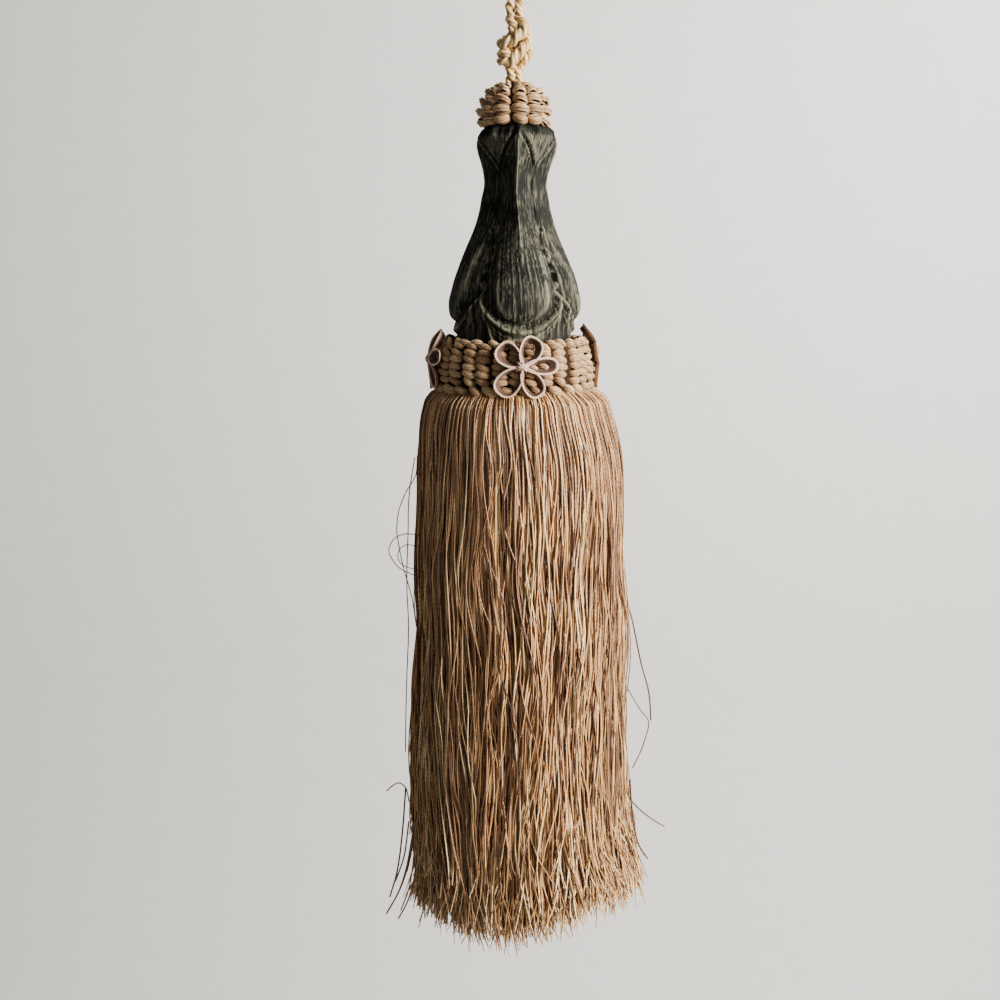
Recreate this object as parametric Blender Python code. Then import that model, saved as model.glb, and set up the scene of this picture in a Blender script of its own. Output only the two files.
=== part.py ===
"""Long trimming tassel with a carved head: a doubled two-ply cord with an overhand knot, a dome of knotted
cord, a dark four-petalled head, a knotted collar with four gimp flowers, and a skirt of twisted threads.

Heights and sizes are written in millimetres and turned into metres as each mesh is made. +Z is up, the front
faces -Y, and the origin is the inside top of the hanging loop. Angles around the tassel are in degrees from
the front, growing towards +X."""

import math
import random

import bpy
import numpy as np
from mathutils import Vector
from mathutils.geometry import delaunay_2d_cdt

MM = 0.001
GAP = 0.3  # between neighbouring pieces

# Hanging cord
CORD = 2.7  # outer diameter of the two-ply cord
PLY_GROOVE = 0.36  # how deep the groove between the two plies is cut
LAY = 6.6  # length in which the plies turn once
LOOP_STEP = LAY / 6
KNOT_TOP, KNOT_FOOT = -46.9, -57.2
CAP_TOP = -62.2

# The loop's centreline from the left leg over the bight to the right leg
LOOP_ROUTE = (
    # x, y, z
    (-1.5, 0.0, KNOT_TOP + GAP),
    (-1.5, 0.0, -41.0),
    (-1.6, 0.0, -35.0),
    (-2.2, 0.1, -28.0),
    (-3.4, 0.2, -21.0),
    (-4.8, 0.2, -14.0),
    (-5.8, 0.1, -8.0),
    (-5.6, 0.0, -3.2),
    (-3.6, 0.0, 0.1),
    (0.0, 0.0, 0.5 * CORD),
    (3.6, 0.0, 0.1),
    (5.7, 0.0, -3.3),
    (6.0, -0.1, -8.2),
    (5.1, -0.2, -14.2),
    (3.7, -0.2, -21.2),
    (2.4, -0.1, -28.2),
    (1.7, 0.0, -35.2),
    (1.5, 0.0, -41.0),
    (1.5, 0.0, KNOT_TOP + GAP),
)

# The two strands of the doubled cord through the overhand knot, from the loop down to the neck,
# measured from the knot's middle
KNOT_MIDDLE = (KNOT_TOP + KNOT_FOOT) / 2
KNOT_STRAND = 2.4  # the cord is squeezed a little where it is knotted
KNOT_CORE = 2.0  # the knot is at least this deep everywhere
KNOT_ROWS, KNOT_COLUMNS = 15, 24
RIGHT_STRAND = (
    # x, y, z
    (1.4, 0.0, 7.5),
    (1.5, -1.4, 5.6),
    (1.6, -2.5, 4.1),
    (1.5, -2.6, 2.2),
    (1.0, -1.6, 0.6),
    (0.6, 0.5, -0.1),
    (0.1, 2.3, -0.8),
    (-0.6, 2.7, -3.0),
    (0.8, 1.7, -4.6),
    (3.2, 0.9, -3.9),
    (3.8, 1.3, -1.5),
    (3.0, 2.1, 0.7),
    (1.5, 2.6, 2.0),
    (-0.2, 2.6, 2.7),
    (-2.0, 2.0, 3.1),
    (-3.5, 0.7, 1.8),
    (-2.8, -0.4, -0.3),
    (-0.6, 0.2, -1.7),
    (1.4, 1.4, -2.4),
    (2.0, 2.3, -4.2),
    (1.4, 1.4, -6.0),
    (1.2, 0.4, -8.0),
)
LEFT_STRAND = (
    # x, y, z
    (-1.4, 0.0, 7.5),
    (-1.0, -1.3, 5.6),
    (-0.7, -2.5, 4.1),
    (-1.0, -1.5, 2.1),
    (-1.2, 0.8, 1.0),
    (-2.4, 1.9, -0.6),
    (-3.4, 0.9, -2.1),
    (-3.9, 0.0, -3.3),
    (-3.7, -1.1, -4.4),
    (-2.6, -1.9, -5.0),
    (-0.9, -2.4, -4.8),
    (0.5, -2.5, -3.3),
    (1.8, -1.9, -2.0),
    (3.0, -1.1, -0.5),
    (2.8, -0.6, 1.6),
    (1.1, -0.4, 3.1),
    (-0.9, -0.2, 4.0),
    (-2.6, -1.4, 3.8),
    (-3.3, -2.4, 2.5),
    (-3.2, -2.8, 0.8),
    (-2.9, -2.5, -0.9),
    (-2.1, -1.5, -2.6),
    (-1.3, -0.3, -4.4),
    (-1.1, 0.1, -6.2),
    (-1.2, -0.2, -8.0),
)

# Neck of cord between knot and cap: two strands side by side, in a slow turn
NECK_WAIST, NECK_TOP_BULGE, NECK_FOOT_BULGE = 1.55, 0.5, 0.95
NECK_TOP_TURN, NECK_FOOT_TURN = 55.0, -20.0
NECK_RINGS, NECK_SIDES = 5, 10

# Head
LOBES = 4
HEAD_TOP, HEAD_FOOT = -75.6, -140.7
HEAD_PROFILE = (
    # height, lobe radius, valley depth as a share of it, 0 for a sharp ridge to 1 for a round petal
    (HEAD_TOP, 10.5, 0.03, 0.2),
    (-77.2, 11.3, 0.1, 0.1),
    (-79.6, 11.8, 0.2, 0.0),
    (-82.0, 11.5, 0.25, 0.0),
    (-85.0, 10.5, 0.29, 0.0),
    (-88.2, 9.6, 0.3, 0.0),
    (-91.4, 9.3, 0.3, 0.05),
    (-95.0, 10.0, 0.3, 0.1),
    (-99.5, 10.9, 0.29, 0.2),
    (-104.5, 12.5, 0.29, 0.35),
    (-109.0, 14.4, 0.28, 0.55),
    (-113.5, 16.4, 0.26, 0.8),
    (-118.0, 18.0, 0.22, 1.0),
    (-122.0, 19.1, 0.19, 1.0),
    (-125.5, 19.8, 0.15, 1.0),
    (-128.5, 19.6, 0.10, 1.0),
    (-131.5, 18.5, 0.06, 1.0),
    (-134.5, 18.0, 0.02, 1.0),
    (HEAD_FOOT, 17.4, 0.0, 1.0),
)
HEAD_DRIFT = (
    # height, how far to the right the carved form has wandered, degrees its front lobe is turned to the right
    (HEAD_TOP, 0.8, 1.0),
    (-84.0, 0.7, 1.0),
    (-93.0, 0.3, 1.5),
    (-101.0, 0.3, 4.0),
    (-112.0, 0.3, 6.0),
    (-125.0, 0.3, 7.0),
    (-133.0, 0.0, 7.0),
    (HEAD_FOOT, 0.0, 7.0),
)
HEAD_ROWS = (HEAD_TOP, -76.8, -79.0, -81.6, -84.6, -88.0, -91.5, -95.5, -99.5, -103.5, -107.5, -111.5,
             -115.3, -118.8, -121.8, -124.3, -126.5, -128.4, -130.2, -131.8, -133.4, -135.2, -137.2,
             HEAD_FOOT)
HEAD_COLUMNS = 48
RIDGE_TO_VALLEY = 3.2  # how late a round petal falls off towards its valleys
# the U-shaped rim around a petal's foot
RIM_FOOT, RIM_RISE, RIM_REACH, RIM_CURVE = -133.4, 8.4, 42.0, 2.3
RIM_PROUD, RIM_WIDTH = 1.1, 1.4
RIM_GROOVE, GROOVE_ABOVE = 0.9, 2.6
# the leaf in a valley, how steep its edge is, and how proud it is where that edge ends
LEAF_TIP, LEAF_FOOT, LEAF_HALF, LEAF_PROUD = -123.0, -135.0, 18.0, 1.2
LEAF_STEEP, LEAF_SHOULDER, LEAF_END = 2.5, 0.6, 1.1

# Cap
CAP_COLUMNS, CAP_ROWS = 12, 5
CAP_PROFILE = (
    # radius over the knots, height
    (3.0, CAP_TOP),
    (6.4, -61.9),
    (8.6, -63.6),
    (10.4, -66.2),
    (11.5, -69.2),
    (11.7, -72.0),
    (11.1, -74.2),
    (10.1, HEAD_TOP + GAP),
)
CAP_COLUMN_GROOVE, CAP_ROW_GROOVE = 2.0, 1.3
CAP_FULL = 9.0  # radius from which the column grooves have their whole depth
CAP_PILLOW, COLLAR_PILLOW = 3, 2  # how flat the front of a knot is before it falls into its grooves
CAP_TURN = 8.0  # a column of knots stands this far right of the front

# Collar
COLLAR_COLUMNS, COLLAR_RUNGS = 30, 6
COLLAR_TOP, LOOPS_TOP, COLLAR_FOOT = -136.0, -148.6, -152.0
COLLAR_OUTER = (
    # height, radius over the knots
    (COLLAR_TOP, 22.4),
    (-137.4, 23.5),
    (-140.0, 24.4),
    (-144.0, 24.9),
    (-148.6, 24.8),
    (-150.6, 24.9),
    (COLLAR_FOOT, 24.1),
)
COLLAR_BORE, COLLAR_LIP, LIP_TOP, LIP_FOOT = 22.2, 18.5, -136.6, -140.4
RUNG_GROOVE, COLUMN_GROOVE, EDGE_GROOVE = 0.9, 1.1, 0.5

# Gimp flowers
RIBBON = 0.6  # thickness of the gimp ribbon, which stands on its edge
RIBBON_DEPTH = 1.9
FLOWER_SEAT = 24.9 + GAP
SEAT_PROFILE = (
    # height, radius of the flowers' underside, which leans in over the collar's top edge
    (-130.0, 20.4),
    (-132.5, 20.9),
    (-134.5, 22.1),
    (-136.0, 23.2),
    (-137.4, 24.1),
    (-140.0, 24.9),
    (-143.0, FLOWER_SEAT),
    (-156.0, FLOWER_SEAT),
)
HUB = 1.9
PETAL_STEPS = 5
PETAL_FULLNESS = 1.25  # above 1 a loop is widest nearer its outer end
PETALS = (
    # direction seen from the front, length, half width
    (1.0, 10.8, 2.5),
    (62.0, 9.5, 3.1),
    (139.0, 9.2, 3.1),
    (230.0, 10.6, 3.5),
    (301.0, 10.3, 2.9),
)
FLOWERS = (
    # node, degrees around the collar, height of its middle, how far its petals are turned
    ("flower_front", 4.7, -142.8, 0.0),
    ("flower_right", 95.0, -141.2, 33.0),
    ("flower_back", 187.0, -142.0, 10.0),
    ("flower_left", 279.0, -142.2, 8.0),
)

# Skirt
PLUG_TOP, PLUG_RADIUS = HEAD_FOOT - GAP, COLLAR_BORE - GAP
HEADING_TOP, HEADING_FOOT, HEADING_RADIUS = COLLAR_FOOT - GAP, -153.5, 26.8
SKIRT_FOOT, RAGGED = -317.5, 3.2
FOOT_SLANT, FOOT_LIFT = 0.09, 1.5  # the foot rises towards the right, and is cut shorter at both sides
SKIRT_PROFILE = (
    # height, half width, sideways shift, depth as a share of width
    (HEADING_FOOT, 26.8, 0.0, 1.0),
    (-158.0, 28.8, 0.6, 0.99),
    (-163.0, 30.2, 1.0, 0.98),
    (-172.0, 31.8, 1.6, 0.96),
    (-186.0, 32.5, 2.0, 0.94),
    (-205.0, 33.0, 1.7, 0.92),
    (-225.0, 34.0, 2.2, 0.91),
    (-255.0, 35.4, 2.2, 0.9),
    (-287.0, 36.7, 2.4, 0.89),
    (-308.0, 37.3, 3.4, 0.88),
    (-326.0, 37.2, 4.0, 0.88),
)
LOCK_RINGS = (
    # locks, place as a share of the radius, sides, sections below the root
    (72, 0.945, 4, (-158.0, -170.0, -200.0, -300.0)),
    (56, 0.8, 3, (-165.0, -298.0)),
    (42, 0.65, 3, (-165.0, -298.0)),
    (28, 0.5, 3, (-296.0,)),
    (16, 0.34, 3, (-296.0,)),
    (8, 0.18, 3, ()),
)
LOCK_THICK = 0.1  # a lock's thickness as a share of the skirt's radius
LOCK_FILL = 0.8  # how much of its share of the ring a lock fills
TIP_SHARE = 0.45
SWAY = 3.0  # degrees that the threads lean round the skirt by the time they reach its foot
HEADING_SIDES = 48
STRAY_WIDE = 0.9
STRAYS = (
    # lock of the outer ring, height where it leaves, farthest height and reach past the skirt, tip's two
    (54, -180.0, -203.0, 5.0, -229.0, 0.6),
    (18, -214.0, -255.0, 7.6, -271.0, 4.0),
    (16, -272.0, -288.0, 7.0, -297.0, 11.0),
    (52, -266.0, -278.0, 2.6, -286.0, 5.0),
    (57, -296.0, -312.0, 1.8, -325.0, 5.2),
    (66, -300.0, -314.0, 0.6, -327.0, 2.0),
    (6, -300.0, -312.0, 0.6, -325.0, 2.4),
    (31, -240.0, -262.0, 3.2, -285.0, 0.8),
    (41, -210.0, -230.0, 3.0, -252.0, 0.8),
)

COLOURS = (
    # material, red, green, blue, roughness
    ("cord", 0.50, 0.37, 0.24, 0.75),
    ("knots", 0.47, 0.33, 0.23, 0.7),
    ("carved_head", 0.05, 0.05, 0.04, 0.6),
    ("gimp", 0.28, 0.17, 0.14, 0.65),
    ("skirt_threads", 0.36, 0.22, 0.14, 0.55),
)


def smooth_between(table, height, column, key=0):
    """Value of one column at a height, on a smooth curve through the table's rows."""
    rows = sorted(table, key=lambda row: row[key])
    keys = [row[key] for row in rows]
    values = [row[column] for row in rows]
    slopes = np.gradient(values, keys)
    height = min(max(height, keys[0]), keys[-1])
    i = min(int(np.searchsorted(keys, height, side="right")) - 1, len(keys) - 2)
    step = keys[i + 1] - keys[i]
    t = (height - keys[i]) / step
    start, end = values[i], values[i + 1]
    rise = step * slopes[i], step * slopes[i + 1]
    cubic = start * (2 * t**3 - 3 * t**2 + 1) + end * (3 * t**2 - 2 * t**3)
    return cubic + rise[0] * (t**3 - 2 * t**2 + t) + rise[1] * (t**3 - t**2)


def smooth_route(points, step):
    """Points about one step apart on a smooth curve through the route's own points."""
    points = [np.array(p, float) for p in points]
    ends = [2 * points[0] - points[1]] + points + [2 * points[-1] - points[-2]]
    dense = []
    for a, b, c, d in zip(ends, ends[1:], ends[2:], ends[3:]):
        for t in np.linspace(0, 1, 24, endpoint=False):
            dense.append(0.5 * (2 * b + (c - a) * t + (2 * a - 5 * b + 4 * c - d) * t**2
                                + (3 * b - a - 3 * c + d) * t**3))
    dense = np.array(dense + [points[-1]])
    along = np.r_[0, np.cumsum(np.linalg.norm(np.diff(dense, axis=0), axis=1))]
    places = np.linspace(0, along[-1], max(2, round(along[-1] / step)) + 1)
    return np.stack([np.interp(places, along, dense[:, k]) for k in range(3)], axis=1)


def around(radius, angle, height):
    """Point at an angle from the front, growing towards +X."""
    turn = math.radians(angle)
    return (radius * math.sin(turn), -radius * math.cos(turn), height)


def plain_material(name):
    if name in bpy.data.materials:
        return bpy.data.materials[name]
    red, green, blue, roughness = next(row[1:] for row in COLOURS if row[0] == name)
    material = bpy.data.materials.new(name)
    material.use_nodes = True
    shader = material.node_tree.nodes["Principled BSDF"]
    shader.inputs["Base Color"].default_value = (red, green, blue, 1)
    shader.inputs["Roughness"].default_value = roughness
    shader.inputs["Metallic"].default_value = 0.0
    material.diffuse_color = (red, green, blue, 1)
    return material


def add_piece(name, points, faces, material, sharp=60):
    """One closed solid from points in millimetres, with its faces turned outwards."""
    points = np.array(points, float) * MM
    volume = 0.0
    for face in faces:
        for k in range(1, len(face) - 1):
            volume += np.dot(points[face[0]], np.cross(points[face[k]], points[face[k + 1]]))
    if volume < 0:
        faces = [face[::-1] for face in faces]
    mesh = bpy.data.meshes.new(name)
    mesh.from_pydata(points.tolist(), [], [list(face) for face in faces])
    mesh.materials.append(plain_material(material))
    mesh.shade_smooth()
    mesh.set_sharp_from_angle(angle=math.radians(sharp))
    bpy.context.scene.collection.objects.link(bpy.data.objects.new(name, mesh))


def skin_faces(rings, sides, first=0):
    """Quads between rings of points that follow each other in the list of points."""
    faces = []
    for ring in range(rings - 1):
        here, there = first + ring * sides, first + (ring + 1) * sides
        for k in range(sides):
            along = (k + 1) % sides
            faces.append((here + k, here + along, there + along, there + k))
    return faces


def capped_skin(name, rings, material, sharp=60):
    """Solid with a skin over the rings and a fan of triangles over each end."""
    sides = len(rings[0])
    points = [point for ring in rings for point in ring]
    faces = skin_faces(len(rings), sides)
    last = (len(rings) - 1) * sides
    for start, ring in ((0, rings[0]), (last, rings[-1])):
        points.append(tuple(np.mean(ring, axis=0)))
        for k in range(sides):
            pair = (start + k, start + (k + 1) % sides)
            faces.append((pair[::-1] if start == 0 else pair) + (len(points) - 1,))
    add_piece(name, points, faces, material, sharp)


def twisted_rings(route, sides, section):
    """Rings of a strand along a route; section gives the radius from the angle within the turning strand."""
    ahead = np.gradient(route, axis=0)
    ahead /= np.linalg.norm(ahead, axis=1)[:, None]
    side = np.cross(ahead[0], (0.0, 1.0, 0.0))
    travelled = 0.0
    rings = []
    for i, centre in enumerate(route):
        side = side - ahead[i] * np.dot(side, ahead[i])
        side /= np.linalg.norm(side)
        other = np.cross(ahead[i], side)
        if i:
            travelled += np.linalg.norm(centre - route[i - 1])
        ring = []
        for k in range(sides):
            angle = 2 * math.pi * k / sides
            turned = angle - 2 * math.pi * travelled / LAY
            spoke = side * math.cos(turned) + other * math.sin(turned)
            ring.append(tuple(centre + section(angle) * spoke))
        rings.append(ring)
    return rings


def two_ply(angle):
    return CORD / 2 - PLY_GROOVE * math.sin(angle) ** 2


def make_loop():
    route = smooth_route(LOOP_ROUTE, LOOP_STEP)
    capped_skin("cord_loop", twisted_rings(route, 6, two_ply), "cord")


def strand_reach(direction, spheres, radius):
    """How far from the knot's middle the strands still lie in one direction."""
    along = spheres @ direction
    inside = along**2 - (spheres**2).sum(axis=1) + radius**2
    met = inside > 0
    return max(KNOT_CORE, float((along[met] + np.sqrt(inside[met])).max())) if met.any() else KNOT_CORE


def make_knot():
    """The outer skin over all the strands of the tied knot, flat where the cord enters and leaves."""
    spheres = np.concatenate([smooth_route(strand, 0.5) for strand in (RIGHT_STRAND, LEFT_STRAND)])
    rings = []
    for row in range(1, KNOT_ROWS):
        tilt = math.pi * row / KNOT_ROWS
        ring = []
        for k in range(KNOT_COLUMNS):
            turn = 2 * math.pi * k / KNOT_COLUMNS
            level = math.sin(tilt)
            direction = np.array((level * math.cos(turn), level * math.sin(turn), math.cos(tilt)))
            x, y, z = direction * strand_reach(direction, spheres, KNOT_STRAND / 2)
            z = min(max(z, KNOT_FOOT - KNOT_MIDDLE), KNOT_TOP - KNOT_MIDDLE)
            ring.append((x, y, z + KNOT_MIDDLE))
        rings.append(ring)
    capped_skin("cord_knot", rings, "cord")


def make_neck():
    """The two strands lying in a slow turn from the knot down to the cap."""
    length = KNOT_FOOT - GAP - CAP_TOP - GAP
    rings = []
    for k in range(NECK_RINGS + 1):
        share = k / NECK_RINGS
        ring = []
        for j in range(NECK_SIDES):
            angle = 2 * math.pi * j / NECK_SIDES
            bulge = NECK_TOP_BULGE + (NECK_FOOT_BULGE - NECK_TOP_BULGE) * share
            radius = NECK_WAIST + bulge * math.cos(angle) ** 2
            turned = angle + math.radians(NECK_TOP_TURN + (NECK_FOOT_TURN - NECK_TOP_TURN) * share)
            height = KNOT_FOOT - GAP - length * share
            ring.append((radius * math.cos(turned), radius * math.sin(turned), height))
        rings.append(ring)
    capped_skin("cord_neck", rings, "cord")


def head_radius(from_lobe, height):
    """Radius of the carved form at degrees past its front lobe: flat faces at the top, petals lower down."""
    half = 180 / LOBES
    off = abs((from_lobe + half) % (2 * half) - half)
    lobe = smooth_between(HEAD_PROFILE, height, 1)
    depth = smooth_between(HEAD_PROFILE, height, 2)
    petal = smooth_between(HEAD_PROFILE, height, 3)
    flat = math.cos(math.radians(half))
    ridge_fall = (1 - flat / math.cos(math.radians(half - off))) / (1 - flat)
    petal_fall = (off / half) ** RIDGE_TO_VALLEY
    radius = lobe * (1 - depth * ((1 - petal) * ridge_fall + petal * petal_fall))
    past = height - RIM_FOOT - RIM_RISE * (off / RIM_REACH) ** RIM_CURVE
    radius += RIM_PROUD * math.exp(-(past / RIM_WIDTH) ** 2)
    radius -= RIM_GROOVE * math.exp(-((past - GROOVE_ABOVE) / RIM_WIDTH) ** 2)
    down = (LEAF_TIP - height) / (LEAF_TIP - LEAF_FOOT)
    from_valley = half - off
    if 0 < down < LEAF_END:
        inside = max(0.0, 1 - from_valley / (LEAF_HALF * down))
        radius += LEAF_PROUD * min(1.0, LEAF_STEEP * inside) * (LEAF_SHOULDER + (1 - LEAF_SHOULDER) * inside)
    return radius


def make_head():
    rings = []
    for height in HEAD_ROWS:
        plain = height in (HEAD_TOP, HEAD_FOOT)
        lobe = smooth_between(HEAD_PROFILE, height, 1)
        shift = smooth_between(HEAD_DRIFT, height, 1)
        turned = smooth_between(HEAD_DRIFT, height, 2)
        ring = []
        for k in range(HEAD_COLUMNS):
            from_lobe = 360 * k / HEAD_COLUMNS
            x, y, _ = around(lobe if plain else head_radius(from_lobe, height), from_lobe + turned, height)
            ring.append((x + shift, y, height))
        rings.append(ring)
    capped_skin("head", rings, "carved_head", 38)


def pillow(place, power):
    """0 in the middle of a cell, rising to 1 at its edges."""
    return abs(2 * (place % 1) - 1) ** power


def make_cap():
    per_column, per_row = 6, 2
    steps = CAP_ROWS * per_row
    profile = smooth_route([(r, 0, z) for r, z in CAP_PROFILE], 0.2)
    along = np.linspace(0, len(profile) - 1, steps + 1)
    rings = []
    for i, place in enumerate(along):
        radius, _, height = profile[int(round(place))]
        ahead, behind = profile[min(int(place) + 3, len(profile) - 1)], profile[max(int(place) - 3, 0)]
        slope = Vector((ahead[0] - behind[0], ahead[2] - behind[2])).normalized()
        inward = (slope.y, -slope.x) if i not in (0, steps) else (0, 0)
        ring = []
        for k in range(CAP_COLUMNS * per_column):
            groove = CAP_COLUMN_GROOVE * min(1, radius / CAP_FULL) * pillow(k / per_column, CAP_PILLOW)
            groove += CAP_ROW_GROOVE * pillow(i / per_row, CAP_PILLOW)
            angle = CAP_TURN + 360 * (k / per_column - 0.5) / CAP_COLUMNS
            ring.append(around(radius + groove * inward[0], angle, height + groove * inward[1]))
        rings.append(ring)
    capped_skin("cap", rings, "knots")


def make_collar():
    per_column, per_rung = 3, 2
    columns = COLLAR_COLUMNS * per_column
    rung = (COLLAR_TOP - LOOPS_TOP) / COLLAR_RUNGS
    heights = [COLLAR_TOP - rung * k / per_rung for k in range(COLLAR_RUNGS * per_rung + 1)]
    heights += [(LOOPS_TOP + COLLAR_FOOT) / 2, COLLAR_FOOT]
    rings = []
    for height in heights:
        outer = smooth_between(COLLAR_OUTER, height, 1)
        in_loops = height < LOOPS_TOP - 0.1
        ring = []
        for k in range(columns):
            skew = 0.5 if in_loops else 0.0
            groove = COLUMN_GROOVE * pillow(k / per_column + skew, COLLAR_PILLOW)
            if not in_loops:
                groove += RUNG_GROOVE * pillow((COLLAR_TOP - height) / rung, COLLAR_PILLOW)
            if height in (COLLAR_TOP, COLLAR_FOOT):
                groove *= EDGE_GROOVE
            ring.append(around(outer - groove, 360 * k / columns, height))
        rings.append(ring)
    inner = ((COLLAR_BORE, COLLAR_FOOT), (COLLAR_BORE, LIP_FOOT),
             (COLLAR_LIP, LIP_FOOT), (COLLAR_LIP, LIP_TOP))
    bore = [[around(radius, 360 * k / COLLAR_COLUMNS, height) for k in range(COLLAR_COLUMNS)]
            for radius, height in inner]
    points = [point for ring in rings + bore for point in ring]
    faces = skin_faces(len(rings), columns)
    first_bore = len(rings) * columns
    faces += skin_faces(len(bore), COLLAR_COLUMNS, first_bore)
    foot, top = first_bore - columns, first_bore + (len(bore) - 1) * COLLAR_COLUMNS
    for k in range(COLLAR_COLUMNS):
        after = (k + 1) % COLLAR_COLUMNS
        for outside, inside in ((foot, first_bore), (0, top)):
            spread = [outside + (k * per_column + j) % columns for j in range(per_column + 1)]
            fan = tuple(spread[::-1]) + (inside + k, inside + after)
            faces.append(fan[::-1] if inside == first_bore else fan)
    add_piece("collar", points, faces, "knots")


def plate_triangles(outline, holes):
    """Triangles over a flat outline less its holes; a triangle's numbers count along outline and holes."""
    loops = [outline] + list(holes)
    flat = [Vector(point) for loop in loops for point in loop]
    loop_faces, start = [], 0
    for loop in loops:
        loop_faces.append(list(range(start, start + len(loop))))
        start += len(loop)
    made = delaunay_2d_cdt(flat, [], loop_faces, 0, 1e-6)
    original = [numbers[0] for numbers in made[3]]
    return [tuple(original[v] for v in face) for face, inside in zip(made[2], made[5]) if inside == [0]]


def petal_outline(direction, length, half, inset):
    """Teardrop seen from the front, counter-clockwise from its point at the hub, drawn in by an inset."""
    turn = math.radians(direction)
    lower, upper = [], []
    for k in range(PETAL_STEPS + 1):
        share = k / PETAL_STEPS
        out = HUB + inset + (length - HUB - 2 * inset) * (1 - math.cos(math.pi * share)) / 2
        wide = (half - inset) * abs(math.sin(math.pi * share**PETAL_FULLNESS)) ** 0.8
        lower.append((out, -wide))
        upper.append((out, wide))
    loop = lower + upper[-2:0:-1]
    cosine, sine = math.cos(turn), math.sin(turn)
    return [(out * cosine - wide * sine, out * sine + wide * cosine) for out, wide in loop]


def flower_loops(turn):
    """Outer outline of the whole rosette, and the hole inside each ribbon loop."""
    outline, holes = [], []
    for direction, length, half in PETALS:
        outline += petal_outline(direction + turn, length, half, 0.0)[1:]
        holes.append(petal_outline(direction + turn, length, half, RIBBON))
    return outline, holes


def make_flower(name, middle, hub_height, turn):
    outline, holes = flower_loops(turn)
    flat = [point for loop in [outline] + holes for point in loop]
    triangles = plate_triangles(outline, holes)
    points = []
    for proud in (RIBBON_DEPTH, 0.0):
        for x, y in flat:
            height = hub_height + y
            radius = smooth_between(SEAT_PROFILE, height, 1) + proud
            points.append(around(radius, middle + math.degrees(x / FLOWER_SEAT), height))
    count = len(flat)
    faces = list(triangles) + [tuple(count + v for v in face[::-1]) for face in triangles]
    edges = {edge for face in triangles for edge in zip(face, face[1:] + face[:1])}
    faces += [(b, a, count + a, count + b) for a, b in sorted(edges) if (b, a) not in edges]
    add_piece(name, points, faces, "gimp", 40)


def lock_middle(angle, share, height, sway):
    """Where the middle of a lock hangs, its ring being a share of the skirt's radius."""
    wide = smooth_between(SKIRT_PROFILE, height, 1) * share
    hang = (HEADING_FOOT - height) / (HEADING_FOOT - SKIRT_FOOT)
    turn = angle + SWAY * hang * (math.sin(3 * math.radians(angle) + 4 * hang) + sway)
    x, y, _ = around(wide, turn, height)
    return x + smooth_between(SKIRT_PROFILE, height, 2), y * smooth_between(SKIRT_PROFILE, height, 3), turn


def lock_ring(middle, turn, height, sides, thick, wide):
    """Section of a lock, seen from below, with one corner facing outwards."""
    out = np.array(around(1, turn, 0)[:2])
    across = np.array((-out[1], out[0]))
    ring = []
    for k in range(sides):
        angle = 2 * math.pi * k / sides
        corner = np.array(middle) + out * thick / 2 * math.cos(angle) + across * wide / 2 * math.sin(angle)
        ring.append((corner[0], corner[1], height))
    return ring


def make_lock(count, place, sides, sections, number, chance):
    """Rings of one lock from its root in the heading down to its tip."""
    angle = 360 * number / count
    sway = chance.uniform(-0.25, 0.25)
    foot = SKIRT_FOOT + RAGGED * chance.uniform(-1, 1)
    foot += FOOT_SLANT * lock_middle(angle, place, SKIRT_FOOT, sway)[0]
    foot += FOOT_LIFT * place * math.sin(math.radians(angle)) ** 2
    stray = next((row for row in STRAYS if row[0] == number and place == LOCK_RINGS[0][1]), None)
    rings = []
    for height in (HEADING_FOOT,) + sections + (foot,):
        if stray and height < stray[1]:
            break
        x, y, turn = lock_middle(angle, place, height, sway)
        radius = smooth_between(SKIRT_PROFILE, height, 1)
        pinch = TIP_SHARE if height == foot else 1.0
        thick = LOCK_THICK * radius * pinch
        wide = 2 * math.pi * radius * place / count * LOCK_FILL * pinch
        if stray:
            thick, wide = min(thick, 2 * STRAY_WIDE), STRAY_WIDE
        rings.append(lock_ring((x, y), turn, height, sides, thick, wide))
    if stray:
        _, leaves, far_height, far_reach, tip_height, tip_reach = stray
        bow = ((leaves, -STRAY_WIDE), ((leaves + far_height) / 2, 0.75 * far_reach), (far_height, far_reach),
               ((far_height + tip_height) / 2, 0.6 * far_reach + 0.4 * tip_reach), (tip_height, tip_reach))
        for height, reach in bow:
            radius = smooth_between(SKIRT_PROFILE, height, 1)
            x, y, turn = lock_middle(angle, (radius + reach) / radius, height, sway)
            rings.append(lock_ring((x, y), turn, height, sides, STRAY_WIDE, STRAY_WIDE))
    return rings


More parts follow.
